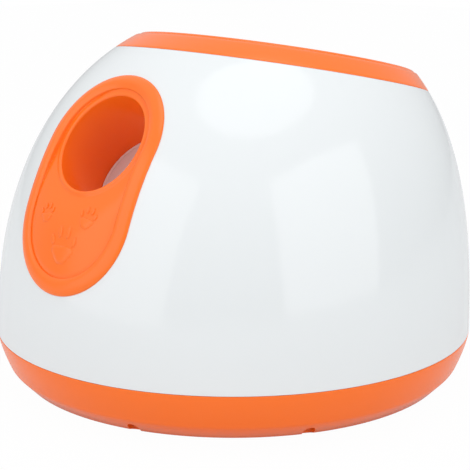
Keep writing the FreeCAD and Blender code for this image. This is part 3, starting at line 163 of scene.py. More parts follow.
class LauncherPort(bpy.types.PropertyGroup):
    height: length("Port height", "Where the port's axis meets the dome", 0.1522)
    tilt: angle("Port tilt", "Tilt of the port's face above the horizontal", 34.5)
    inset: length("Port inset", "Depth of the mouth inside the dome", 0.0086)
    launch: angle("Launch angle", "Tilt of the bore above the horizontal", 40.75)
    bore: length("Bore radius", "Radius of the bore", 0.0279)
    half_width: length("Half width", "Half the bezel's width", 0.041)
    top: length("Top centre", "Centre of the upper end arc, up the face from the mouth", -0.0003)
    bottom: length("Bottom centre", "Centre of the lower end arc, up the face from the mouth", -0.0409)
    proud: length("Border height", "How far the border stands over the dome", 0.00145)
    border: length("Border width", "Width of the raised border", 0.0084)
    recess: length("Plate depth", "Depth of the plate below the dome", 0.0003)
    wall: length("Wall", "Thickness of the bezel's plate", 0.0024)
    face: length("Face height", "Height of the flat round the mouth", 0.0024)
    face_rise: length("Face rise", "How much higher the flat is beside and over the mouth", 0.0008)
    dish_slope: number("Dish slope", "Slope of the mouth's dish", 0.37)
    lip: length("Lip width", "Width of the lip round the mouth", 0.0036)
    lip_crown: length("Lip crown", "Distance of the lip's highest line from the bore", 0.0013)
    lip_proud: length("Lip height", "How far the lip stands over the flat", 0.0009)
    lip_rounding: length("Lip rounding", "Rounding of the bore's edge", 0.0011)
    plate_drop: length("Plate drop", "How far the plate rounds down to the border", 0.0004)
    plate_round: length("Plate rounding", "Width over which the plate rounds down", 0.003)
    tunnel: length("Tunnel depth", "Length of the bezel's tunnel", 0.029)
    tube: length("Tube radius", "Outer radius of the tunnel", 0.0301)
    flange: length("Flange radius", "Radius of the tunnel's flange", 0.0361)
    flange_depth: length("Flange thickness", "Thickness of the tunnel's flange", 0.003)
    relief: length("Relief height", "Height of the raised paws", 0.0007)


class LauncherLooks(bpy.types.PropertyGroup):
    white: colour("White", "Dome colour as sRGB hex", "#e3e6e6")
    orange: colour("Orange", "Colour of the orange mouldings as sRGB hex", "#ff741c")
    orange_roughness: share("Orange roughness", "Roughness of the orange mouldings", 0.22)
    white_roughness: share("White roughness", "Roughness of the dome", 0.1)
    backdrop: colour("Backdrop", "Colour of the floor and backdrop as sRGB hex", "#e2e2e2")


class LauncherStudio(bpy.types.PropertyGroup):
    azimuth: angle("Azimuth", "Where the camera stands round the launcher", 44.1)
    elevation: angle("Elevation", "How far the camera looks down", 11.76)
    distance: length("Distance", "From the camera to its target", 0.7785)
    target: length("Target height", "Height of the point that the camera faces", 0.1031)
    lens: number("Lens", "Focal length", 102.5, subtype="DISTANCE_CAMERA")
    sky: share("Sky level", "Brightness of the light from above, where 1 is white", 0.96)
    horizon: share("Horizon level", "Brightness of the light from the horizon, where 1 is white", 0.29)
    sky_colour: colour("Sky colour", "Colour of the even light as sRGB hex", "#fafcff")
    shift_x: number("Shift X", "Sideways shift of the view", 0.0034)
    shift_y: number("Shift Y", "Upward shift of the view", -0.0713)


def settings(name):
    """One of the groups of settings above, by its name in GROUPS."""
    return getattr(bpy.context.scene, name)


# ---------------------------------------------------------------- meshes
def mesh_piece(name, vertices, faces, slot_name):
    """A smooth mesh object from an array of vertices and a list of face arrays.

    With a slot it takes that slot's finish and rides on the housing; without one it is a knife for cut().
    """
    data = bpy.data.meshes.new(name)
    groups = [np.asarray(group, np.int32) for group in faces]
    sizes = np.concatenate([np.full(len(group), group.shape[1], np.int32) for group in groups])
    corners = np.concatenate([group.ravel() for group in groups])
    data.vertices.add(len(vertices))
    data.vertices.foreach_set("co", np.asarray(vertices, np.float32).ravel())
    data.loops.add(len(corners))
    data.loops.foreach_set("vertex_index", corners)
    data.polygons.add(len(sizes))
    data.polygons.foreach_set("loop_start", (np.cumsum(sizes) - sizes).astype(np.int32))
    data.polygons.foreach_set("use_smooth", np.ones(len(sizes), bool))
    data.update(calc_edges=True)
    data.validate()
    piece = bpy.data.objects.new(name, data)
    bpy.context.scene.collection.objects.link(piece)
    if slot_name:
        data.materials.append(finish(slot_name))
        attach(piece, "housing")
    return piece


def grid_faces(rows, columns, wrap_rows=False):
    """Quads of a grid of rows, each a closed loop of columns. Wrapped rows join the last row to the first."""
    r, c = np.meshgrid(np.arange(rows if wrap_rows else rows - 1), np.arange(columns), indexing="ij")
    r2, c2 = (r + 1) % rows, (c + 1) % columns
    corners = [r * columns + c, r * columns + c2, r2 * columns + c2, r2 * columns + c]
    return np.stack(corners, -1).reshape(-1, 4)


def closed_skin(rows, first_pole, last_pole):
    """Vertices and faces of loops stacked from pole to pole: quads between loops and a fan at each pole."""
    count, columns = len(rows), len(rows[0])
    vertices = np.concatenate([np.concatenate(rows), [first_pole, last_pole]])
    c = np.arange(columns)
    n = (c + 1) % columns
    last = (count - 1) * columns
    start = np.stack([n, c, np.full(columns, count * columns)], -1)
    end = np.stack([last + c, last + n, np.full(columns, count * columns + 1)], -1)
    return vertices, [grid_faces(count, columns), start, end]


def joined(skins):
    """One list of vertices and faces from several skins, each a pair of vertices and face arrays."""
    vertices, faces, base = [], [], 0
    for points, groups in skins:
        vertices.append(points)
        faces += [group + base for group in groups]
        base += len(points)
    return np.concatenate(vertices), faces


def cut(piece, cutter):
    """Take a cutter's volume out of a piece for good, and remove the cutter."""
    knife = piece.modifiers.new("cut", "BOOLEAN")
    knife.object, knife.solver = cutter, "EXACT"
    bpy.context.view_layer.update()
    whole = piece.evaluated_get(bpy.context.evaluated_depsgraph_get())
    data = bpy.data.meshes.new_from_object(whole)
    piece.modifiers.clear()
    piece.data = data
    bpy.data.objects.remove(cutter)


def upright(outline, low, high):
    """Closed prism over a counter-clockwise outline of (x, y) points between two heights."""
    rows = [np.column_stack([outline, np.full(len(outline), z)]) for z in (low, high)]
    middle = outline.mean(0)
    return closed_skin(rows, [*middle, low], [*middle, high])


def turned(points, degrees):
    """Points (x, y) turned counter-clockwise about the origin."""
    c, s = math.cos(math.radians(degrees)), math.sin(math.radians(degrees))
    return points @ np.array([[c, s], [-s, c]])


def circle(turn, centre, second, radius):
    """Circle about a centre: centre + radius (cos(turn) X + sin(turn) second), for a second direction."""
    return centre + (np.cos(turn)[:, None] * ACROSS + np.sin(turn)[:, None] * second) * radius


def merged_copy(node, degrees=20.0):
    """A copy of a CAD node in its place, with its loose triangles joined and shaded smoothly."""
    same_point = 2e-6
    source = frame["nodes"][node]
    data = source.data.copy()
    work = bmesh.new()
    work.from_mesh(data)
    bmesh.ops.remove_doubles(work, verts=work.verts, dist=same_point)
    work.to_mesh(data)
    work.free()
    data.polygons.foreach_set("use_smooth", np.ones(len(data.polygons), bool))
    piece = bpy.data.objects.new(node + "_smooth", data)
    bpy.context.scene.collection.objects.link(piece)
    sharpen(piece, degrees)
    data.materials.clear()
    data.materials.append(finish(SLOTS[node]))
    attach(piece, source["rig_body"])
    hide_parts(node)
    return piece


def sharpen(piece, degrees):
    """Keep edges crisp where faces turn by more than an angle, and shade the rest smoothly."""
    piece.data.set_sharp_from_angle(angle=math.radians(degrees))


# ---------------------------------------------------------------- the dome's surface
def dome_radius(z):
    """Radius of the dome's circle at a height: r = R (1 - (|z - zw| / H)^m)^(1/m), a superellipse."""
    h = settings("launcher_housing")
    part = np.clip(np.abs(z - h.widest) / h.crown, 0, 1)
    return h.radius * (1 - part**h.power) ** (1 / h.power)


def dome_centre(z):
    """Set-back of the dome's circle at a height: the lean times the square of its share of the crown."""
    h = settings("launcher_housing")
    return h.lean * (np.clip(z - h.widest, 0, None) / h.crown) ** 2


def dome_point(turn, z, offset=0.0):
    """Point of the dome at a turn from +X and a height, moved by an offset along the profile's normal."""
    step = 1e-5
    slope = (dome_radius(z + step) - dome_radius(z - step)) / (2 * step)
    across = 1 / np.sqrt(1 + slope**2)
    radius = dome_radius(z) + offset * across
    height = z - offset * slope * across
    return np.stack([radius * np.cos(turn), dome_centre(z) + radius * np.sin(turn), height], -1)


def plane_height(turn, drop, offset=0.0):
    """Height at which each meridian of the dome meets the rim's plane lowered by a drop, found by halving."""
    h = settings("launcher_housing")
    top_share = 0.965  # of the crown's rise, just under where the profile closes
    low = np.full_like(turn, h.seam)
    high = np.full_like(turn, h.widest + top_share * h.crown)
    for _ in range(HALVINGS):
        z = (low + high) / 2
        point = dome_point(turn, z, offset)
        under = point[..., 2] < h.rim_height - drop - math.tan(h.rim_tilt) * point[..., 1]
        low, high = np.where(under, z, low), np.where(under, high, z)
    return (low + high) / 2


# ---------------------------------------------------------------- the port's frame
def rim_axes():
    """The rim plane's normal and its way to the back: (0, sin, cos) and (0, cos, -sin) of its tilt."""
    tilt = settings("launcher_housing").rim_tilt
    return np.array([0, math.sin(tilt), math.cos(tilt)]), np.array([0, math.cos(tilt), -math.sin(tilt)])


def port_frame():
    """Mouth centre, the face's up and outward directions, and the bore's inward and rise directions."""
    p = settings("launcher_port")
    out = np.array([0, -math.cos(p.tilt), math.sin(p.tilt)])
    up = np.array([0, math.sin(p.tilt), math.cos(p.tilt)])
    z = p.height
    mouth = np.array([0, float(dome_centre(z) - dome_radius(z)), z]) - out * p.inset
    inward = np.array([0, math.cos(p.launch), -math.sin(p.launch)])
    rise = np.array([0, math.sin(p.launch), math.cos(p.launch)])
    return mouth, up, out, inward, rise


def face_point(x, t, n):
    """Point of the port's face: mouth + x across + t up + n out."""
    mouth, up, out, _, _ = port_frame()
    return mouth + x[..., None] * ACROSS + t[..., None] * up + n[..., None] * out


def over_face(x, t):
    """Height of the dome over the mouth's plane at places x across and t up the face, found by halving."""
    reach = 0.06
    low, high = np.full(np.shape(x), -reach), np.full(np.shape(x), reach)
    for _ in range(HALVINGS):
        n = (low + high) / 2
        point = face_point(x, t, n)
        z = point[..., 2]
        inside = np.hypot(point[..., 0], point[..., 1] - dome_centre(z)) < dome_radius(z)
        low, high = np.where(inside, n, low), np.where(inside, high, n)
    return (low + high) / 2


def stadium_points(count, inset):
    """Points (x, t) of the bezel's outline drawn in by an inset: two half circles and two straights.

    Their steps along the outline itself are even, so each point moves straight inwards as the inset grows.
    """
    p = settings("launcher_port")
    arc, side = math.pi * p.half_width, p.top - p.bottom
    s = (np.arange(count) + 0.5) / count * 2 * (arc + side)
    w = p.half_width - inset
    turn_top = s / arc * math.pi
    turn_low = math.pi + (s - arc - side) / arc * math.pi
    left = p.top - (s - arc)
    right = p.bottom + (s - 2 * arc - side)
    parts = [s < arc, s < arc + side, s < 2 * arc + side]
    x = np.select(parts, [w * np.cos(turn_top), -w, w * np.cos(turn_low)], w)
    t = np.select(parts, [p.top + w * np.sin(turn_top), left, p.bottom + w * np.sin(turn_low)], right)
    return x, t


def inset_of(x, t):
    """Distance in from the bezel's outline: w - |(x, t - t clipped between the centres of the end arcs)|."""
    p = settings("launcher_port")
    return p.half_width - np.hypot(x, t - np.clip(t, p.bottom, p.top))


def smooth_step(x):
    """0 before 0, 1 after 1, and 3x^2 - 2x^3 between."""
    x = np.clip(x, 0, 1)
    return x * x * (3 - 2 * x)


def smooth_least(a, b, reach):
    """The lesser of a and b, rounded where they are within a reach: a k + b (1 - k) - reach k (1 - k)."""
    k = np.clip(0.5 + (b - a) / (2 * reach), 0, 1)
    return a * k + b * (1 - k) - reach * k * (1 - k)


def plate_height(x, t):
    """Height of the bezel's plate over the mouth's plane.

    It is the rounded lesser of two surfaces: the dome, lowered by the recess and by drop e^2 at a nearness e
    to the border, and the flat round the mouth, which rises by a smooth step up the face.
    """
    p = settings("launcher_port")
    rise_start, rise_length, blend = -0.005, 0.025, 0.0022
    edge = np.clip(1 - (inset_of(x, t) - p.border) / p.plate_round, 0, 1)
    over = over_face(x, t) - p.recess - p.plate_drop * edge**2
    flat = p.face + p.face_rise * smooth_step((t - rise_start) / rise_length)
    return smooth_least(over, flat, blend)


def bezel_height(x, t):
    """Height of the bezel's top: the higher of the border and the plate.

    The border is an arch over the dome, with u = 2 d / width - 1 at a distance d from the outline: it rises
    as (1 - |u|^2.8)^(1 / 2.2) outside, falls as 1 - u^2.4 inside, and drops steeply beyond its width.
    Its inner side is drawn down into a shallow dish round the mouth, crown + slope (r - crown's radius).
    """
    p = settings("launcher_port")
    shoulder, roundness, fall, steep, blend = 2.8, 2.2, 2.4, 4.0, 0.0008
    d = inset_of(x, t)
    place = 2 * d / p.border - 1
    outer = np.clip(1 - np.abs(place) ** shoulder, 0, 1) ** (1 / roundness)
    arch = p.proud * np.where(place < 0, outer, 1 - np.clip(place, 0, 1) ** fall)
    border = over_face(x, t) + arch - steep * np.clip(d - p.border, 0, None)
    dish = p.face + p.lip_proud + p.dish_slope * (np.hypot(x, t) - p.bore - p.lip_crown)
    return np.maximum(smooth_least(border, dish, blend), plate_height(x, t))


# ---------------------------------------------------------------- materials
def linear(code):
    """Linear RGBA from an sRGB hex colour."""
    values = [int(code[i : i + 2], 16) / 255 for i in (1, 3, 5)]
    return [v / 12.92 if v <= 0.04045 else ((v + 0.055) / 1.055) ** 2.4 for v in values] + [1.0]


def add_node(material, kind, values=None, links=None, **attributes):
    """Add a node, set its attributes and input values, and link its inputs to other nodes' outputs."""
    node = material.node_tree.nodes.new(kind)
    for key, value in attributes.items():
        setattr(node, key, value)
    for key, value in (values or {}).items():
        node.inputs[key].default_value = value
    for key, source in (links or {}).items():
        material.node_tree.links.new(source, node.inputs[key])
    return node


def surface(
    name,
    code,
    roughness,
    metallic=0.0,
    ior=1.5,
    specular=0.5,
    transmission=0.0,
    grain_mm=1.5,
    grain=0.03,
    tint=0.03,
    bump=0.02,
):
    """A finish with faint clouding of its colour, and a fine texture in its gloss and relief."""
    cloud_mm, texture_depth = 45, 0.2 * MM
    material = bpy.data.materials.new(name)
    material.use_nodes = True
    material.node_tree.nodes.clear()
    place = add_node(material, "ShaderNodeTexCoord").outputs["Object"]
    size = {"Scale": 1 / (grain_mm * MM), "Detail": 3.0}
    fine = add_node(material, "ShaderNodeTexNoise", size, {"Vector": place}).outputs["Fac"]
    size = {"Scale": 1 / (cloud_mm * MM), "Detail": 2.0}
    cloud = add_node(material, "ShaderNodeTexNoise", size, {"Vector": place}).outputs["Fac"]
    base = linear(code)
    ends = {"A": base, "B": [c * (1 - tint) for c in base[:3]] + [1.0]}
    mix = add_node(material, "ShaderNodeMix", ends, {"Factor": cloud}, data_type="RGBA")
    ends = {"To Min": roughness - grain, "To Max": roughness + grain}
    rough = add_node(material, "ShaderNodeMapRange", ends, {"Value": fine})
    depth = {"Strength": bump, "Distance": texture_depth}
    relief = add_node(material, "ShaderNodeBump", depth, {"Height": fine})
    shader = add_node(
        material,
        "ShaderNodeBsdfPrincipled",
        {
            "Metallic": metallic,
            "IOR": ior,
            "Specular IOR Level": specular,
            "Transmission Weight": transmission,
        },
        {
            "Base Color": mix.outputs["Result"],
            "Roughness": rough.outputs["Result"],
            "Normal": relief.outputs["Normal"],
        },
    )
    add_node(material, "ShaderNodeOutputMaterial", links={"Surface": shader.outputs["BSDF"]})
    return material


def finishes():
    """Every finish by its slot: name, colour, roughness, and what differs from surface()'s defaults."""
    looks = settings("launcher_looks")
    metal = {"metallic": 1.0}
    return {
        # High-gloss ABS, polished tool: even white with sharp soft-box reflections and almost no texture.
        "white_abs": (
            "gloss ABS white",
            looks.white,
            looks.white_roughness,
            dict(ior=1.52, grain=0.015, tint=0.012, bump=0.004),
        ),
        # Semi-gloss ABS, lightly textured tool: saturated orange with broad soft highlights.
        "orange_abs": (
            "satin ABS orange",
            looks.orange,
            looks.orange_roughness,
            dict(specular=0.4, bump=0.012),
        ),
        # Natural polypropylene: milky and dull.
        "frosted_plastic": ("frosted polypropylene", "#e9e4e0", 0.5, dict(ior=1.49, bump=0.03)),
        # Polypropylene disc with a fine sprayed grain.
        "pad_plastic": (
            "grained polypropylene pad",
            "#d9d2cf",
            0.55,
            dict(ior=1.49, grain_mm=0.6, bump=0.06),
        ),
        # Acetal as moulded: off-white, waxy.
        "gear_plastic": ("moulded acetal", "#e8e4d6", 0.38, dict(ior=1.48, bump=0.015)),
        # ABS, fine spark-eroded texture, black.
        "black_plastic": ("textured ABS black", "#1c1d1f", 0.48, dict(grain_mm=0.8, bump=0.05)),
        # Glass-filled nylon, grey with a dry surface.
        "grey_plastic": ("glass-filled nylon grey", "#6f7377", 0.55, dict(grain_mm=0.7, bump=0.06)),
        # Music wire, drawn and oiled.
        "spring_steel": ("drawn spring wire", "#a9abad", 0.28, dict(metal, grain_mm=0.5)),
        # Zinc-plated steel, bright with a slight haze.
        "plain_steel": ("zinc-plated steel", "#c3c6c8", 0.3, dict(metal, grain_mm=0.5)),
        # Nickel-plated drawn can: bright, faintly clouded.
        "motor_can": ("nickel-plated can", "#b9babb", 0.26, dict(metal, grain_mm=0.9, bump=0.015)),
        # Sintered bronze: warm, porous.
        "bronze": ("sintered bronze", "#a9814f", 0.42, dict(metal, grain_mm=0.4, bump=0.08)),
        # Moulded rubber: dark, dull, a little sheen at the edges.
        "foot_rubber": ("moulded rubber", "#242424", 0.75, dict(ior=1.52, grain_mm=0.6, bump=0.08)),
        # The same rubber, cut from sheet: a shade lighter and smoother.
        "stop_rubber": ("stop rubber", "#2b2a29", 0.7, dict(ior=1.52, grain_mm=0.6, bump=0.08)),
        # Glass-epoxy board under green solder resist: deep green with a thin shine.
        "board_green": ("solder resist green", "#1f6b39", 0.3, dict(grain_mm=0.5, bump=0.03)),
        # Shrunk film jacket: plain, with tight highlights.
        "cell_jacket": ("film jacket", "#3a3d44", 0.22, dict(grain_mm=2.0, bump=0.01)),
        # Nickel-plated spring strip: bright and even.
        "contact_plate": ("nickel strip", "#cfcdc6", 0.25, dict(metal, grain_mm=0.6)),
        # Clear acrylic lens over a diffuse light pipe: pale, glassy.
        "lens_clear": ("acrylic lens", "#e8efee", 0.12, dict(ior=1.49, transmission=0.7, bump=0.004)),
        # Tinted epoxy: glassy and faintly green.
        "led_green": ("tinted epoxy green", "#7fd18b", 0.15, dict(transmission=0.4, bump=0.004)),
        # Silicone-coated key: satin grey.
        "button_grey": ("satin key grey", "#8f9497", 0.42, dict(grain_mm=0.7, bump=0.03)),
        # Epoxy with an infrared filter dye: near black, glossy.
        "sensor_dark": ("filter epoxy", "#17121a", 0.1, dict(ior=1.54, bump=0.004)),
    }


def finish(slot_name):
    """The finish of a slot, made at its first use and found again by the slot that is written on it."""
    for material in bpy.data.materials:
        if material.get("slot") == slot_name:
            return material
    name, code, roughness, extra = finishes()[slot_name]
    material = surface(name, code, roughness, **extra)
    material["slot"] = slot_name
    return material


# ---------------------------------------------------------------- pieces
class LAUNCHER_OT_dome(bpy.types.Operator):
    """The white dome, open at the rim, the port and the control panel"""

    bl_idname = "launcher.dome"
    bl_label = "Dome shell"

    def execute(self, context):
        """Meridians from seam to rim, less the faces behind the bezel and the panel, with a wall inwards."""
        h = context.scene.launcher_housing
        columns, rows = 432, 96
        bezel_lap, panel_lap = 0.0035, 0.0015  # how far the dome runs on behind each
        turn = np.arange(columns) / columns * 2 * math.pi
        top, low = plane_height(turn, h.collar) - h.joint, h.seam + h.joint
        z = low + (top - low) * np.linspace(0, 1, rows)[:, None]
        grid = dome_point(np.broadcast_to(turn, z.shape), z)
        mouth, up, _, _, _ = port_frame()
        middle = (grid[:-1] + grid[1:] + np.roll(grid, -1, 1)[:-1] + np.roll(grid, -1, 1)[1:]) / 4
        flat = middle - mouth
        ported = (inset_of(flat[..., 0], flat @ up) > bezel_lap) & (middle[..., 1] < 0)
        (left, _, below), (right, _, above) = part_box("control_panel")
        half, centre = (right - left) / 2, (right + left) / 2
        along = middle[..., 2] - np.clip(middle[..., 2], below + half, above - half)
        panelled = (np.hypot(middle[..., 0] - centre, along) < half - panel_lap) & (middle[..., 1] > 0)
        faces = grid_faces(rows, columns)[~(ported | panelled).ravel()]
        used, faces = np.unique(faces, return_inverse=True)
        piece = mesh_piece("dome_skin", grid.reshape(-1, 3)[used], [faces.reshape(-1, 4)], "white_abs")
        wall = piece.modifiers.new("wall", "SOLIDIFY")
        wall.thickness, wall.offset = h.wall, -1.0
        soft = piece.modifiers.new("soft edges", "BEVEL")
        soft.width, soft.segments = h.edge, 3
        soft.limit_method, soft.angle_limit = "ANGLE", math.radians(60)
        soft.harden_normals = True
        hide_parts("dome_shell")
        return {"FINISHED"}


class LAUNCHER_OT_base(bpy.types.Operator):
    """The orange base tray with its turned-under edge, screw wells and battery opening"""

    bl_idname = "launcher.base"
    bl_label = "Base tray"

    def execute(self, context):
        """A profile turned about Z, straight below its crease, less the wells and the battery opening."""
        h, b = context.scene.launcher_housing, context.scene.launcher_base
        seam = h.seam - h.joint
        side_start = b.crease_height + b.crease_soft * 1.4  # clear of the crease's rounding
        underlap = [0.0015, 0.0005]  # how far the turned-under edge runs on beneath

        def side(z):
            """Side of the tray at heights z: r = R - (R - c) ((seam - z) / (seam - crease))^p."""
            part = (h.seam - z) / (h.seam - b.crease_height)
            return np.column_stack([h.radius - (h.radius - b.crease_radius) * part**b.power, z])

        crease = np.array([b.crease_radius, b.crease_height])
        turned_under = np.array([b.turn_radius, b.turn_height])
        down = (turned_under - crease) / np.linalg.norm(turned_under - crease)
        above = side(np.array([b.crease_height + b.crease_soft]))[0]
        s = np.linspace(0, 1, 9)[:, None]
        rounding = (crease + down * b.crease_soft) * (1 - s) ** 2 + crease * 2 * s * (1 - s) + above * s**2
        skirt_inner = b.skirt_radius - b.skirt_wall
        wall = side(np.linspace(side_start, seam - h.edge, 22))
        corner = np.radians(np.linspace(15, 90, 6))[:, None]
        edge = wall[-1] + h.edge * np.hstack([np.cos(corner) - 1, np.sin(corner)])
        inner = side(np.linspace(b.lip_low, b.ledge_height, 8)) - [h.wall, 0]
        profile = np.concatenate(
            [
                [(skirt_inner * 0.5, b.under), (skirt_inner, b.under), (skirt_inner, b.skirt_height)],
                [(b.skirt_radius, b.skirt_height), turned_under - underlap, turned_under],
                rounding,
                wall,
                edge,
                [(b.lip_outer, seam), (b.lip_outer, b.lip_high), (b.lip_inner, b.lip_high)],
                inner,
                [(b.ledge, b.ledge_height), (b.ledge, b.floor), (b.ledge * 0.5, b.floor)],
            ]
        )
        turn = np.arange(360) / 360 * 2 * math.pi
        ring = np.column_stack([np.cos(turn), np.sin(turn)])
        rows = [np.column_stack([ring * r, np.full(len(turn), z)]) for r, z in profile]
        skin = closed_skin(rows, [0, 0, b.under], [0, 0, b.floor])
        piece = mesh_piece("base_moulding", *skin, "orange_abs")
        cut(piece, mesh_piece("knife", *joined(self.wells(b) + [self.bay(b)]), None))
        sharpen(piece, 38)
        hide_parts("base_tray")
        return {"FINISHED"}

    def wells(self, b):
        """Upright slots round the base: a half circle at each end, and straight sides that point outwards."""
        half = np.radians(np.linspace(-90, 90, 13))
        cap = np.column_stack([np.cos(half), np.sin(half)]) * b.well_radius
        slot = np.concatenate([cap + [b.well_place + b.well_reach, 0], -cap + [b.well_place, 0]])
        return [upright(turned(slot, degrees), -OVERSHOOT, b.well_depth) for degrees in WELL_ANGLES]

    def bay(self, b):
        """The battery opening through the floor."""
        corners = [(-1, b.bay_front), (1, b.bay_front), (1, b.bay_back), (-1, b.bay_back)]
        outline = np.array([(side * b.bay_half, y) for side, y in corners])
        return upright(outline, -OVERSHOOT, b.floor + OVERSHOOT)


def rim_ring(turn, lift, narrowing):
    """Ellipse like the rim, lifted along its normal and drawn in: centre + cos(turn) w X + sin(turn) d back.

    Its half width w is the rim's widest, and its half depth d runs from the rim's front to its rear.
    """
    normal, back = rim_axes()
    ends, around = np.array([-math.pi / 2, math.pi / 2]), np.linspace(0, 2 * math.pi, 181)
    front, rear = dome_point(ends, plane_height(ends, 0.0))
    wide = np.abs(dome_point(around, plane_height(around, 0.0))[:, 0]).max() - narrowing
    deep = np.linalg.norm(rear - front) / 2 - narrowing
    centre = (front + rear) / 2 + normal * lift
    return centre + np.cos(turn)[:, None] * wide * ACROSS + np.sin(turn)[:, None] * deep * back


def inset_ring(turn, inset, lift):
    """The rim's own outline on the dome, drawn in within its plane by an inset and lifted off it."""
    normal, _ = rim_axes()
    rim = dome_point(turn, plane_height(turn, 0.0))
    inward = np.cross(normal, np.roll(rim, -1, 0) - np.roll(rim, 1, 0))
    inward /= np.linalg.norm(inward, axis=1, keepdims=True)
    return rim + inward * inset + normal * lift


class LAUNCHER_OT_hopper(bpy.types.Operator):
    """The hopper: its collar, bowl and spout in one moulding"""

    bl_idname = "launcher.hopper"
    bl_label = "Hopper"

    def execute(self, context):
        """Loops run up the collar, over its rounded top, down the bowl and spout, and back up outside."""
        h = context.scene.launcher_housing
        columns, soft, soft_inner, wall = 288, h.rim_rounding, 0.0012, 0.0022
        soft_across = soft * 1.25  # the outer rounding runs further across than down
        bowl_lift, belly_depth, belly_inset, belly_share = 0.001, 0.024, 0.013, 0.36
        # Heights over the bore's axis
        throat, spout_top, socket_end, spout_end = 0.048, 0.0478, 0.0382, 0.033
        # The hidden lip: its faces' offsets from the dome, its drop below the collar's foot and lap over it
        lip_inner, lip_outer, lip_drop, lip_lap = -0.0045, -0.0027, 0.006, 0.0001
        top_inset = 0.0005  # from the land to the bowl's hidden side
        clear = 1.05  # keeps a loop just below the rounding or the wall that it starts from
        phase = np.arange(columns) / columns * 2 * math.pi
        ring = rim_ring(phase, 0.0, 0.0)
        turn = np.arctan2(ring[:, 1] - dome_centre(ring[:, 2]), ring[:, 0])
        mouth, _, _, inward, rise = port_frame()
        centre = mouth + inward * h.drop_depth
        low = plane_height(turn, h.collar) + h.joint
        start, end = low + h.edge, plane_height(turn, soft * clear)
        rows = [dome_point(turn, low, -h.edge), dome_point(turn, low + h.edge * 0.35, -h.edge * 0.3)]
        for s in np.linspace(0, 1, 10):
            rows.append(dome_point(turn, start + (end - start) * s))
        for a in np.radians(np.linspace(15, 90, 6)):
            rows.append(inset_ring(turn, soft_across * (1 - math.cos(a)), -soft * (1 - math.sin(a))))
        last, inner = rows[-1], rim_ring(phase, 0.0, h.land)
        rows += [last + (inner - last) * s for s in (0.35, 0.7)]
        for a in np.radians(np.linspace(20, 90, 5)):
            drop, widening = soft_inner * (1 - math.cos(a)), soft_inner * (1 - math.sin(a))
            rows.append(rim_ring(phase, -drop, h.land - widening))

        def bowl(s, grow):
            """Parabola through the loops of the rim at 0, the belly at k and the throat at 1, each grown."""
            k = belly_share
            first = rim_ring(phase, bowl_lift, h.land - grow)
            belly = rim_ring(phase, -belly_depth, h.land + belly_inset - grow)
            foot = circle(phase, centre + rise * throat, inward, h.drop + grow)
            a, b, c = (s - k) * (s - 1) / k, s * (s - 1) / (k * (k - 1)), s * (s - k) / (1 - k)
            return first * a + belly * b + foot * c

        rows += [bowl(s, 0.0) for s in np.linspace(0.04, 1, 40)]
        for height, radius in (
            (socket_end, h.drop),
            (socket_end, h.socket),
            (spout_end, h.socket),
            (spout_end, h.spout),
            (spout_top, h.spout),
        ):
            rows.append(circle(phase, centre + rise * height, inward, radius))
        rows += [bowl(s, wall) for s in np.linspace(0.96, 0.09, 26)]
        rows.append(rim_ring(phase, -wall, h.land + top_inset))
        lip_foot = h.collar + lip_drop
        under_rim, lip_top = wall * clear, h.collar - lip_lap
        hidden = ((under_rim, lip_inner), (lip_foot, lip_inner), (lip_foot, lip_outer), (lip_top, lip_outer))
        for drop, offset in hidden:
            rows.append(dome_point(turn, plane_height(turn, drop, offset), offset))
        faces = [grid_faces(len(rows), columns, wrap_rows=True)]
        piece = mesh_piece("hopper_moulding", np.concatenate(rows), faces, "orange_abs")
        sharpen(piece, 40)
        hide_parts("hopper_funnel")
        return {"FINISHED"}


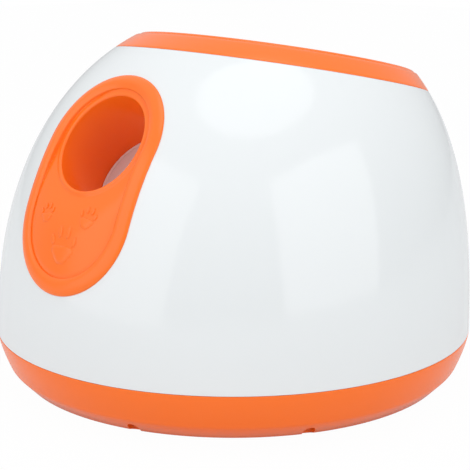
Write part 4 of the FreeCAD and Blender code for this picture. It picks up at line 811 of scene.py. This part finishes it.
class LAUNCHER_OT_bezel(bpy.types.Operator):
    """The port's bezel: raised border, recessed plate, lip and tunnel in one moulding"""

    bl_idname = "launcher.bezel"
    bl_label = "Port bezel"

    def execute(self, context):
        """Loops run inwards over border and plate, down the bore, and back along the hidden side."""
        p = context.scene.launcher_port
        mouth, up, out, inward, rise = port_frame()
        columns, lift, hidden_inset, hidden_drop = 360, 0.0001, 0.0042, 0.0012
        # Loops over the border, as shares of its width, close together where it starts and meets the plate
        shares = (0, 0.004, 0.01, 0.02, 0.036, 0.06, 0.095, 0.14, 0.2, 0.28, 0.38, 0.5, 0.62, 0.71, 0.8)
        rows = []
        for part in (*shares, 0.86, 0.9, *np.linspace(0.92, 1.06, 22)):
            x, t = stadium_points(columns, p.border * part)
            rows.append(face_point(x, t, bezel_height(x, t) + lift))
        turn = np.unwrap(np.arctan2(t, x))

        def on_bore(radius, height):
            """Loop of a cylinder about the bore where it meets a plane level with the mouth at a height."""
            x, b = radius * np.cos(turn), radius * np.sin(turn)
            depth = (height - b * (rise @ out)) / (inward @ out)
            return mouth + x[:, None] * ACROSS + b[:, None] * rise + np.asarray(depth)[:, None] * inward

        foot = on_bore(p.bore + p.lip, p.face) - mouth

        def on_plate(s):
            """Places from the border's inner loop at 0 to the lip's foot at 1, along straight lines."""
            return x + (foot @ ACROSS - x) * s, t + (foot @ up - t) * s

        for s in np.linspace(0.02, 1, 52):
            rows.append(face_point(*on_plate(s), bezel_height(*on_plate(s)) + lift * (1 - s)))
        foot_height = (rows[-1] - mouth) @ out
        crown = p.face + p.lip_proud
        for k in np.linspace(0.12, 1, 8):
            radius = p.bore + p.lip - (p.lip - p.lip_crown) * k
            rows.append(on_bore(radius, foot_height + (crown - foot_height) * smooth_step(k)))
        for a in np.radians(np.linspace(10, 90, 9)):
            radius = p.bore + p.lip_rounding * (1 - math.sin(a))
            rows.append(on_bore(radius, crown - p.lip_rounding * (1 - math.cos(a))))
        start, end = rows[-1], circle(turn, mouth + inward * p.tunnel, rise, p.bore)
        rows += [start + (end - start) * s for s in np.linspace(0.12, 1, 10)]
        flange_top = p.tunnel - p.flange_depth
        for radius, depth in ((p.flange, p.tunnel), (p.flange, flange_top), (p.tube, flange_top)):
            rows.append(circle(turn, mouth + inward * depth, rise, radius))
        rows.append(on_bore(p.tube, p.face - p.wall))
        for s in np.linspace(0.9, 0.0, 14):
            rows.append(face_point(*on_plate(s), plate_height(*on_plate(s)) - p.wall))
        x, t = stadium_points(columns, hidden_inset)
        rows.append(face_point(x, t, over_face(x, t) - p.wall - hidden_drop))
        rows.append(face_point(x, t, over_face(x, t)))
        faces = [grid_faces(len(rows), columns, wrap_rows=True)]
        piece = mesh_piece("bezel_moulding", np.concatenate(rows), faces, "orange_abs")
        sharpen(piece, 50)
        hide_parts("port_bezel")
        return {"FINISHED"}


def pad_outline(palm):
    """Counter-clockwise outline of a pad, about one unit across.

    A toe is the drop ((0.5 - 0.1 sin a) cos a, 0.95 sin a). The palm has three lobes,
    r = 1 + 0.16 sin 3a - 0.06 sin a, and is widened to 1.3 and flattened to 0.74.
    """
    a = np.arange(40) / 40 * 2 * math.pi
    if palm:
        r = 1 + 0.16 * np.sin(3 * a) - 0.06 * np.sin(a)
        return np.column_stack([1.3 * r * np.cos(a), 0.74 * r * np.sin(a)])
    return np.column_stack([np.cos(a) * (0.5 - 0.1 * np.sin(a)), 0.95 * np.sin(a)])


# Place, scale and lean of a paw's palm and four toes, in units of its palm's size
PADS = (
    (0, 0, 1, 0),
    (-1.32, 1.02, 0.5, 18),
    (-0.5, 1.68, 0.54, 6),
    (0.5, 1.68, 0.54, -6),
    (1.32, 1.02, 0.5, -18),
)
# Across, up the face, palm size and lean of each paw
PAWS = ((0.0014, -0.0612, 0.0062, 2), (-0.0176, -0.0448, 0.0034, 8), (0.014, -0.0436, 0.0039, -4))
# A pad's section, from under the plate up: shares of the way out from its middle, and of the relief's height
PAD_SECTION = ((1.0, -0.8), (1.0, 0.0), (0.95, 0.36), (0.86, 0.66), (0.72, 0.87), (0.52, 0.97), (0.3, 1.0))


class LAUNCHER_OT_paws(bpy.types.Operator):
    """Raised paws on the bezel's plate"""

    bl_idname = "launcher.paws"
    bl_label = "Paw relief"

    def execute(self, context):
        """Each pad is a low pillow: loops of its outline drawn in to its middle, from under the plate up."""
        relief = context.scene.launcher_port.relief
        skins = []
        for x, t, size, lean in PAWS:
            for px, py, scale, pad_lean in PADS:
                outline = turned(pad_outline(px == 0) * scale, pad_lean) + [px, py]
                outline = turned(outline, lean) * size + [x, t]
                middle = outline.mean(0)
                rows = []
                for part, height in (*PAD_SECTION, (0.0, -0.8), (0.0, 1.0)):
                    across, along = (middle + (outline - middle) * part).T
                    rows.append(face_point(across, along, plate_height(across, along) + height * relief))
                skins.append(closed_skin(rows[:-2], rows[-2][0], rows[-1][0]))
        mesh_piece("paw_relief", *joined(skins), "orange_abs")
        return {"FINISHED"}


def press_spring(piece):
    """Give the coil's copy its own mesh. Its point deepest along the bore is found, but nothing is moved, so
    the coil is not pressed.
    """
    points = np.array([v.co for v in piece.data.vertices])
    inward = port_frame()[3]
    depths = points @ inward
    points[depths.argmax()].tolist()
    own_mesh(piece)


class LAUNCHER_OT_nodes(bpy.types.Operator):
    """The pieces whose CAD shape is shown as it is, in their own finishes"""

    bl_idname = "launcher.nodes"
    bl_label = "Carried-over pieces"

    def execute(self, context):
        """Pieces that can be seen get smooth copies. The rest keep their own meshes, in their finishes."""
        for node in SHOWN:
            merged_copy(node)
        press_spring(merged_copy("launch_spring", 40))
        for node, piece in frame["nodes"].items():
            piece.data.materials.clear()
            piece.data.materials.append(finish(SLOTS[node]))
        return {"FINISHED"}


# ---------------------------------------------------------------- stage
def direction(azimuth, elevation):
    """Direction from the launcher at an azimuth from its front towards +X and an elevation, in degrees."""
    a, e = math.radians(azimuth), math.radians(elevation)
    return Vector((math.sin(a) * math.cos(e), -math.cos(a) * math.cos(e), math.sin(e)))


def shown_white(owner, path):
    """How far the backdrop is pure white: fully to the camera and through glass, in part in reflections."""
    in_reflections = 0.3
    glossy = path.outputs["Is Glossy Ray"]
    part = add_node(owner, "ShaderNodeMath", {1: in_reflections}, {0: glossy}, operation="MULTIPLY")
    seen = path.outputs["Is Camera Ray"]
    for other in (part.outputs[0], path.outputs["Is Transmission Ray"]):
        seen = add_node(owner, "ShaderNodeMath", links={0: seen, 1: other}, operation="MAXIMUM").outputs[0]
    return seen


# Name, azimuth, elevation, distance, width, height and brightness of each soft box, where 1 is white
SOFT_BOXES = (
    ("left box", -12, 20, 1.3, 1.3, 1.2, 1.0),
    ("right box", 88, 20, 1.3, 1.15, 1.1, 1.15),
    ("overhead disk", 60, 80, 1.1, 0.9, 0.9, 0.84),
)


class LAUNCHER_OT_stage(bpy.types.Operator):
    """Pale floor, soft lights and the camera"""

    bl_idname = "launcher.stage"
    bl_label = "Studio"

    def execute(self, context):
        """A square floor, the sky over it, the lamps and the camera."""
        studio, looks = context.scene.launcher_studio, context.scene.launcher_looks
        scene = context.scene
        scene.view_settings.view_transform = "Standard"
        half = 3.0
        vertices = [(-half, -half, 0), (half, -half, 0), (half, half, 0), (-half, half, 0)]
        floor = bpy.data.objects.new("floor", bpy.data.meshes.new("floor"))
        floor.data.from_pydata(vertices, [], [(0, 1, 2, 3)])
        scene.collection.objects.link(floor)
        floor.data.materials.append(self.pale(looks))
        self.sky(scene, studio)
        self.lamps(scene, studio)
        self.camera(scene, studio)
        return {"FINISHED"}

    def pale(self, looks):
        """White to the camera, but for a small diffuse share that shows the shadow, and diffuse elsewhere."""
        glow_share = 0.98
        material = bpy.data.materials.new("painted floor")
        material.use_nodes = True
        material.node_tree.nodes.clear()
        path = add_node(material, "ShaderNodeLightPath")
        diffuse = add_node(material, "ShaderNodeBsdfDiffuse", {"Color": linear(looks.backdrop)})
        glow = add_node(material, "ShaderNodeEmission", {"Color": (1, 1, 1, 1), "Strength": 1.0})
        white = shown_white(material, path)
        part = add_node(material, "ShaderNodeMath", {1: glow_share}, {0: white}, operation="MULTIPLY")
        ends = {0: part.outputs[0], 1: diffuse.outputs[0], 2: glow.outputs[0]}
        mix = add_node(material, "ShaderNodeMixShader", links=ends)
        add_node(material, "ShaderNodeOutputMaterial", links={"Surface": mix.outputs[0]})
        return material

    def sky(self, scene, studio):
        """Cool light that rises from the horizon's level to the sky's, and plain white to the camera."""
        low, high = -0.1, 0.8  # sines of the elevations where the two levels are reached
        world = bpy.data.worlds.new("studio")
        world.use_nodes = True
        world.node_tree.nodes.clear()
        scene.world = world
        path = add_node(world, "ShaderNodeLightPath")
        way = add_node(world, "ShaderNodeTexCoord").outputs["Generated"]
        height = add_node(world, "ShaderNodeSeparateXYZ", links={"Vector": way}).outputs["Z"]
        ends = {"From Min": low, "From Max": high, "To Min": studio.horizon, "To Max": studio.sky}
        level = add_node(world, "ShaderNodeMapRange", ends, {"Value": height})
        tone, strength = {"Color": linear(studio.sky_colour)}, {"Strength": level.outputs["Result"]}
        even = add_node(world, "ShaderNodeBackground", tone, strength)
        white = add_node(world, "ShaderNodeBackground", {"Color": (1, 1, 1, 1), "Strength": 1.0})
        ends = {0: shown_white(world, path), 1: even.outputs[0], 2: white.outputs[0]}
        mix = add_node(world, "ShaderNodeMixShader", links=ends)
        add_node(world, "ShaderNodeOutputWorld", links={"Surface": mix.outputs[0]})

    def lamps(self, scene, studio):
        """Soft boxes that face the launcher; a box's power is its brightness times pi times its area."""
        for name, azimuth, elevation, distance, wide, tall, bright in SOFT_BOXES:
            light = bpy.data.lights.new(name, "AREA")
            light.shape, light.size, light.size_y = "DISK" if "disk" in name else "RECTANGLE", wide, tall
            light.energy = bright * math.pi * wide * tall
            lamp = bpy.data.objects.new(name, light)
            lamp.location = Vector((0, 0, studio.target)) + direction(azimuth, elevation) * distance
            lamp.rotation_euler = direction(azimuth, elevation).to_track_quat("Z", "Y").to_euler()
            scene.collection.objects.link(lamp)

    def camera(self, scene, studio):
        """The camera stands at its azimuth, elevation and distance from a target on the launcher's axis."""
        target = Vector((0, 0, studio.target))
        back = direction(math.degrees(studio.azimuth), math.degrees(studio.elevation))
        camera = bpy.data.objects.new("camera", bpy.data.cameras.new("camera"))
        camera.location = target + back * studio.distance
        camera.rotation_euler = (-back).to_track_quat("-Z", "Y").to_euler()
        camera.data.lens = studio.lens
        camera.data.sensor_width = 36  # mm, for which the lens is given
        camera.data.shift_x, camera.data.shift_y = studio.shift_x, studio.shift_y
        scene.collection.objects.link(camera)
        scene.camera = camera


OPERATORS = [
    LAUNCHER_OT_stage,
    LAUNCHER_OT_dome,
    LAUNCHER_OT_base,
    LAUNCHER_OT_hopper,
    LAUNCHER_OT_bezel,
    LAUNCHER_OT_paws,
    LAUNCHER_OT_nodes,
]
GROUPS = {
    "launcher_housing": LauncherHousing,
    "launcher_base": LauncherBase,
    "launcher_port": LauncherPort,
    "launcher_looks": LauncherLooks,
    "launcher_studio": LauncherStudio,
}


class LAUNCHER_PT_panel(bpy.types.Panel):
    """Lists the launcher's pieces in the sidebar"""

    bl_idname = "LAUNCHER_PT_panel"
    bl_label = "Launcher"
    bl_space_type = "VIEW_3D"
    bl_region_type = "UI"
    bl_category = "Launcher"

    def draw(self, context):
        for operator in OPERATORS:
            self.layout.operator(operator.bl_idname)
        for group in GROUPS:
            box = self.layout.box()
            for key in getattr(context.scene, group).__annotations__:
                box.prop(getattr(context.scene, group), key)


def register():
    for group in GROUPS.values():
        bpy.utils.register_class(group)
    for operator in OPERATORS:
        bpy.utils.register_class(operator)
    bpy.utils.register_class(LAUNCHER_PT_panel)
    for name, group in GROUPS.items():
        setattr(bpy.types.Scene, name, bpy.props.PointerProperty(type=group))


def unregister():
    for name in GROUPS:
        delattr(bpy.types.Scene, name)
    for cls in [LAUNCHER_PT_panel] + OPERATORS[::-1] + list(GROUPS.values())[::-1]:
        bpy.utils.unregister_class(cls)


def main():
    register()
    for operator in OPERATORS:
        group, name = operator.bl_idname.split(".")
        getattr(getattr(bpy.ops, group), name)()


if __name__ == "__main__":
    main()
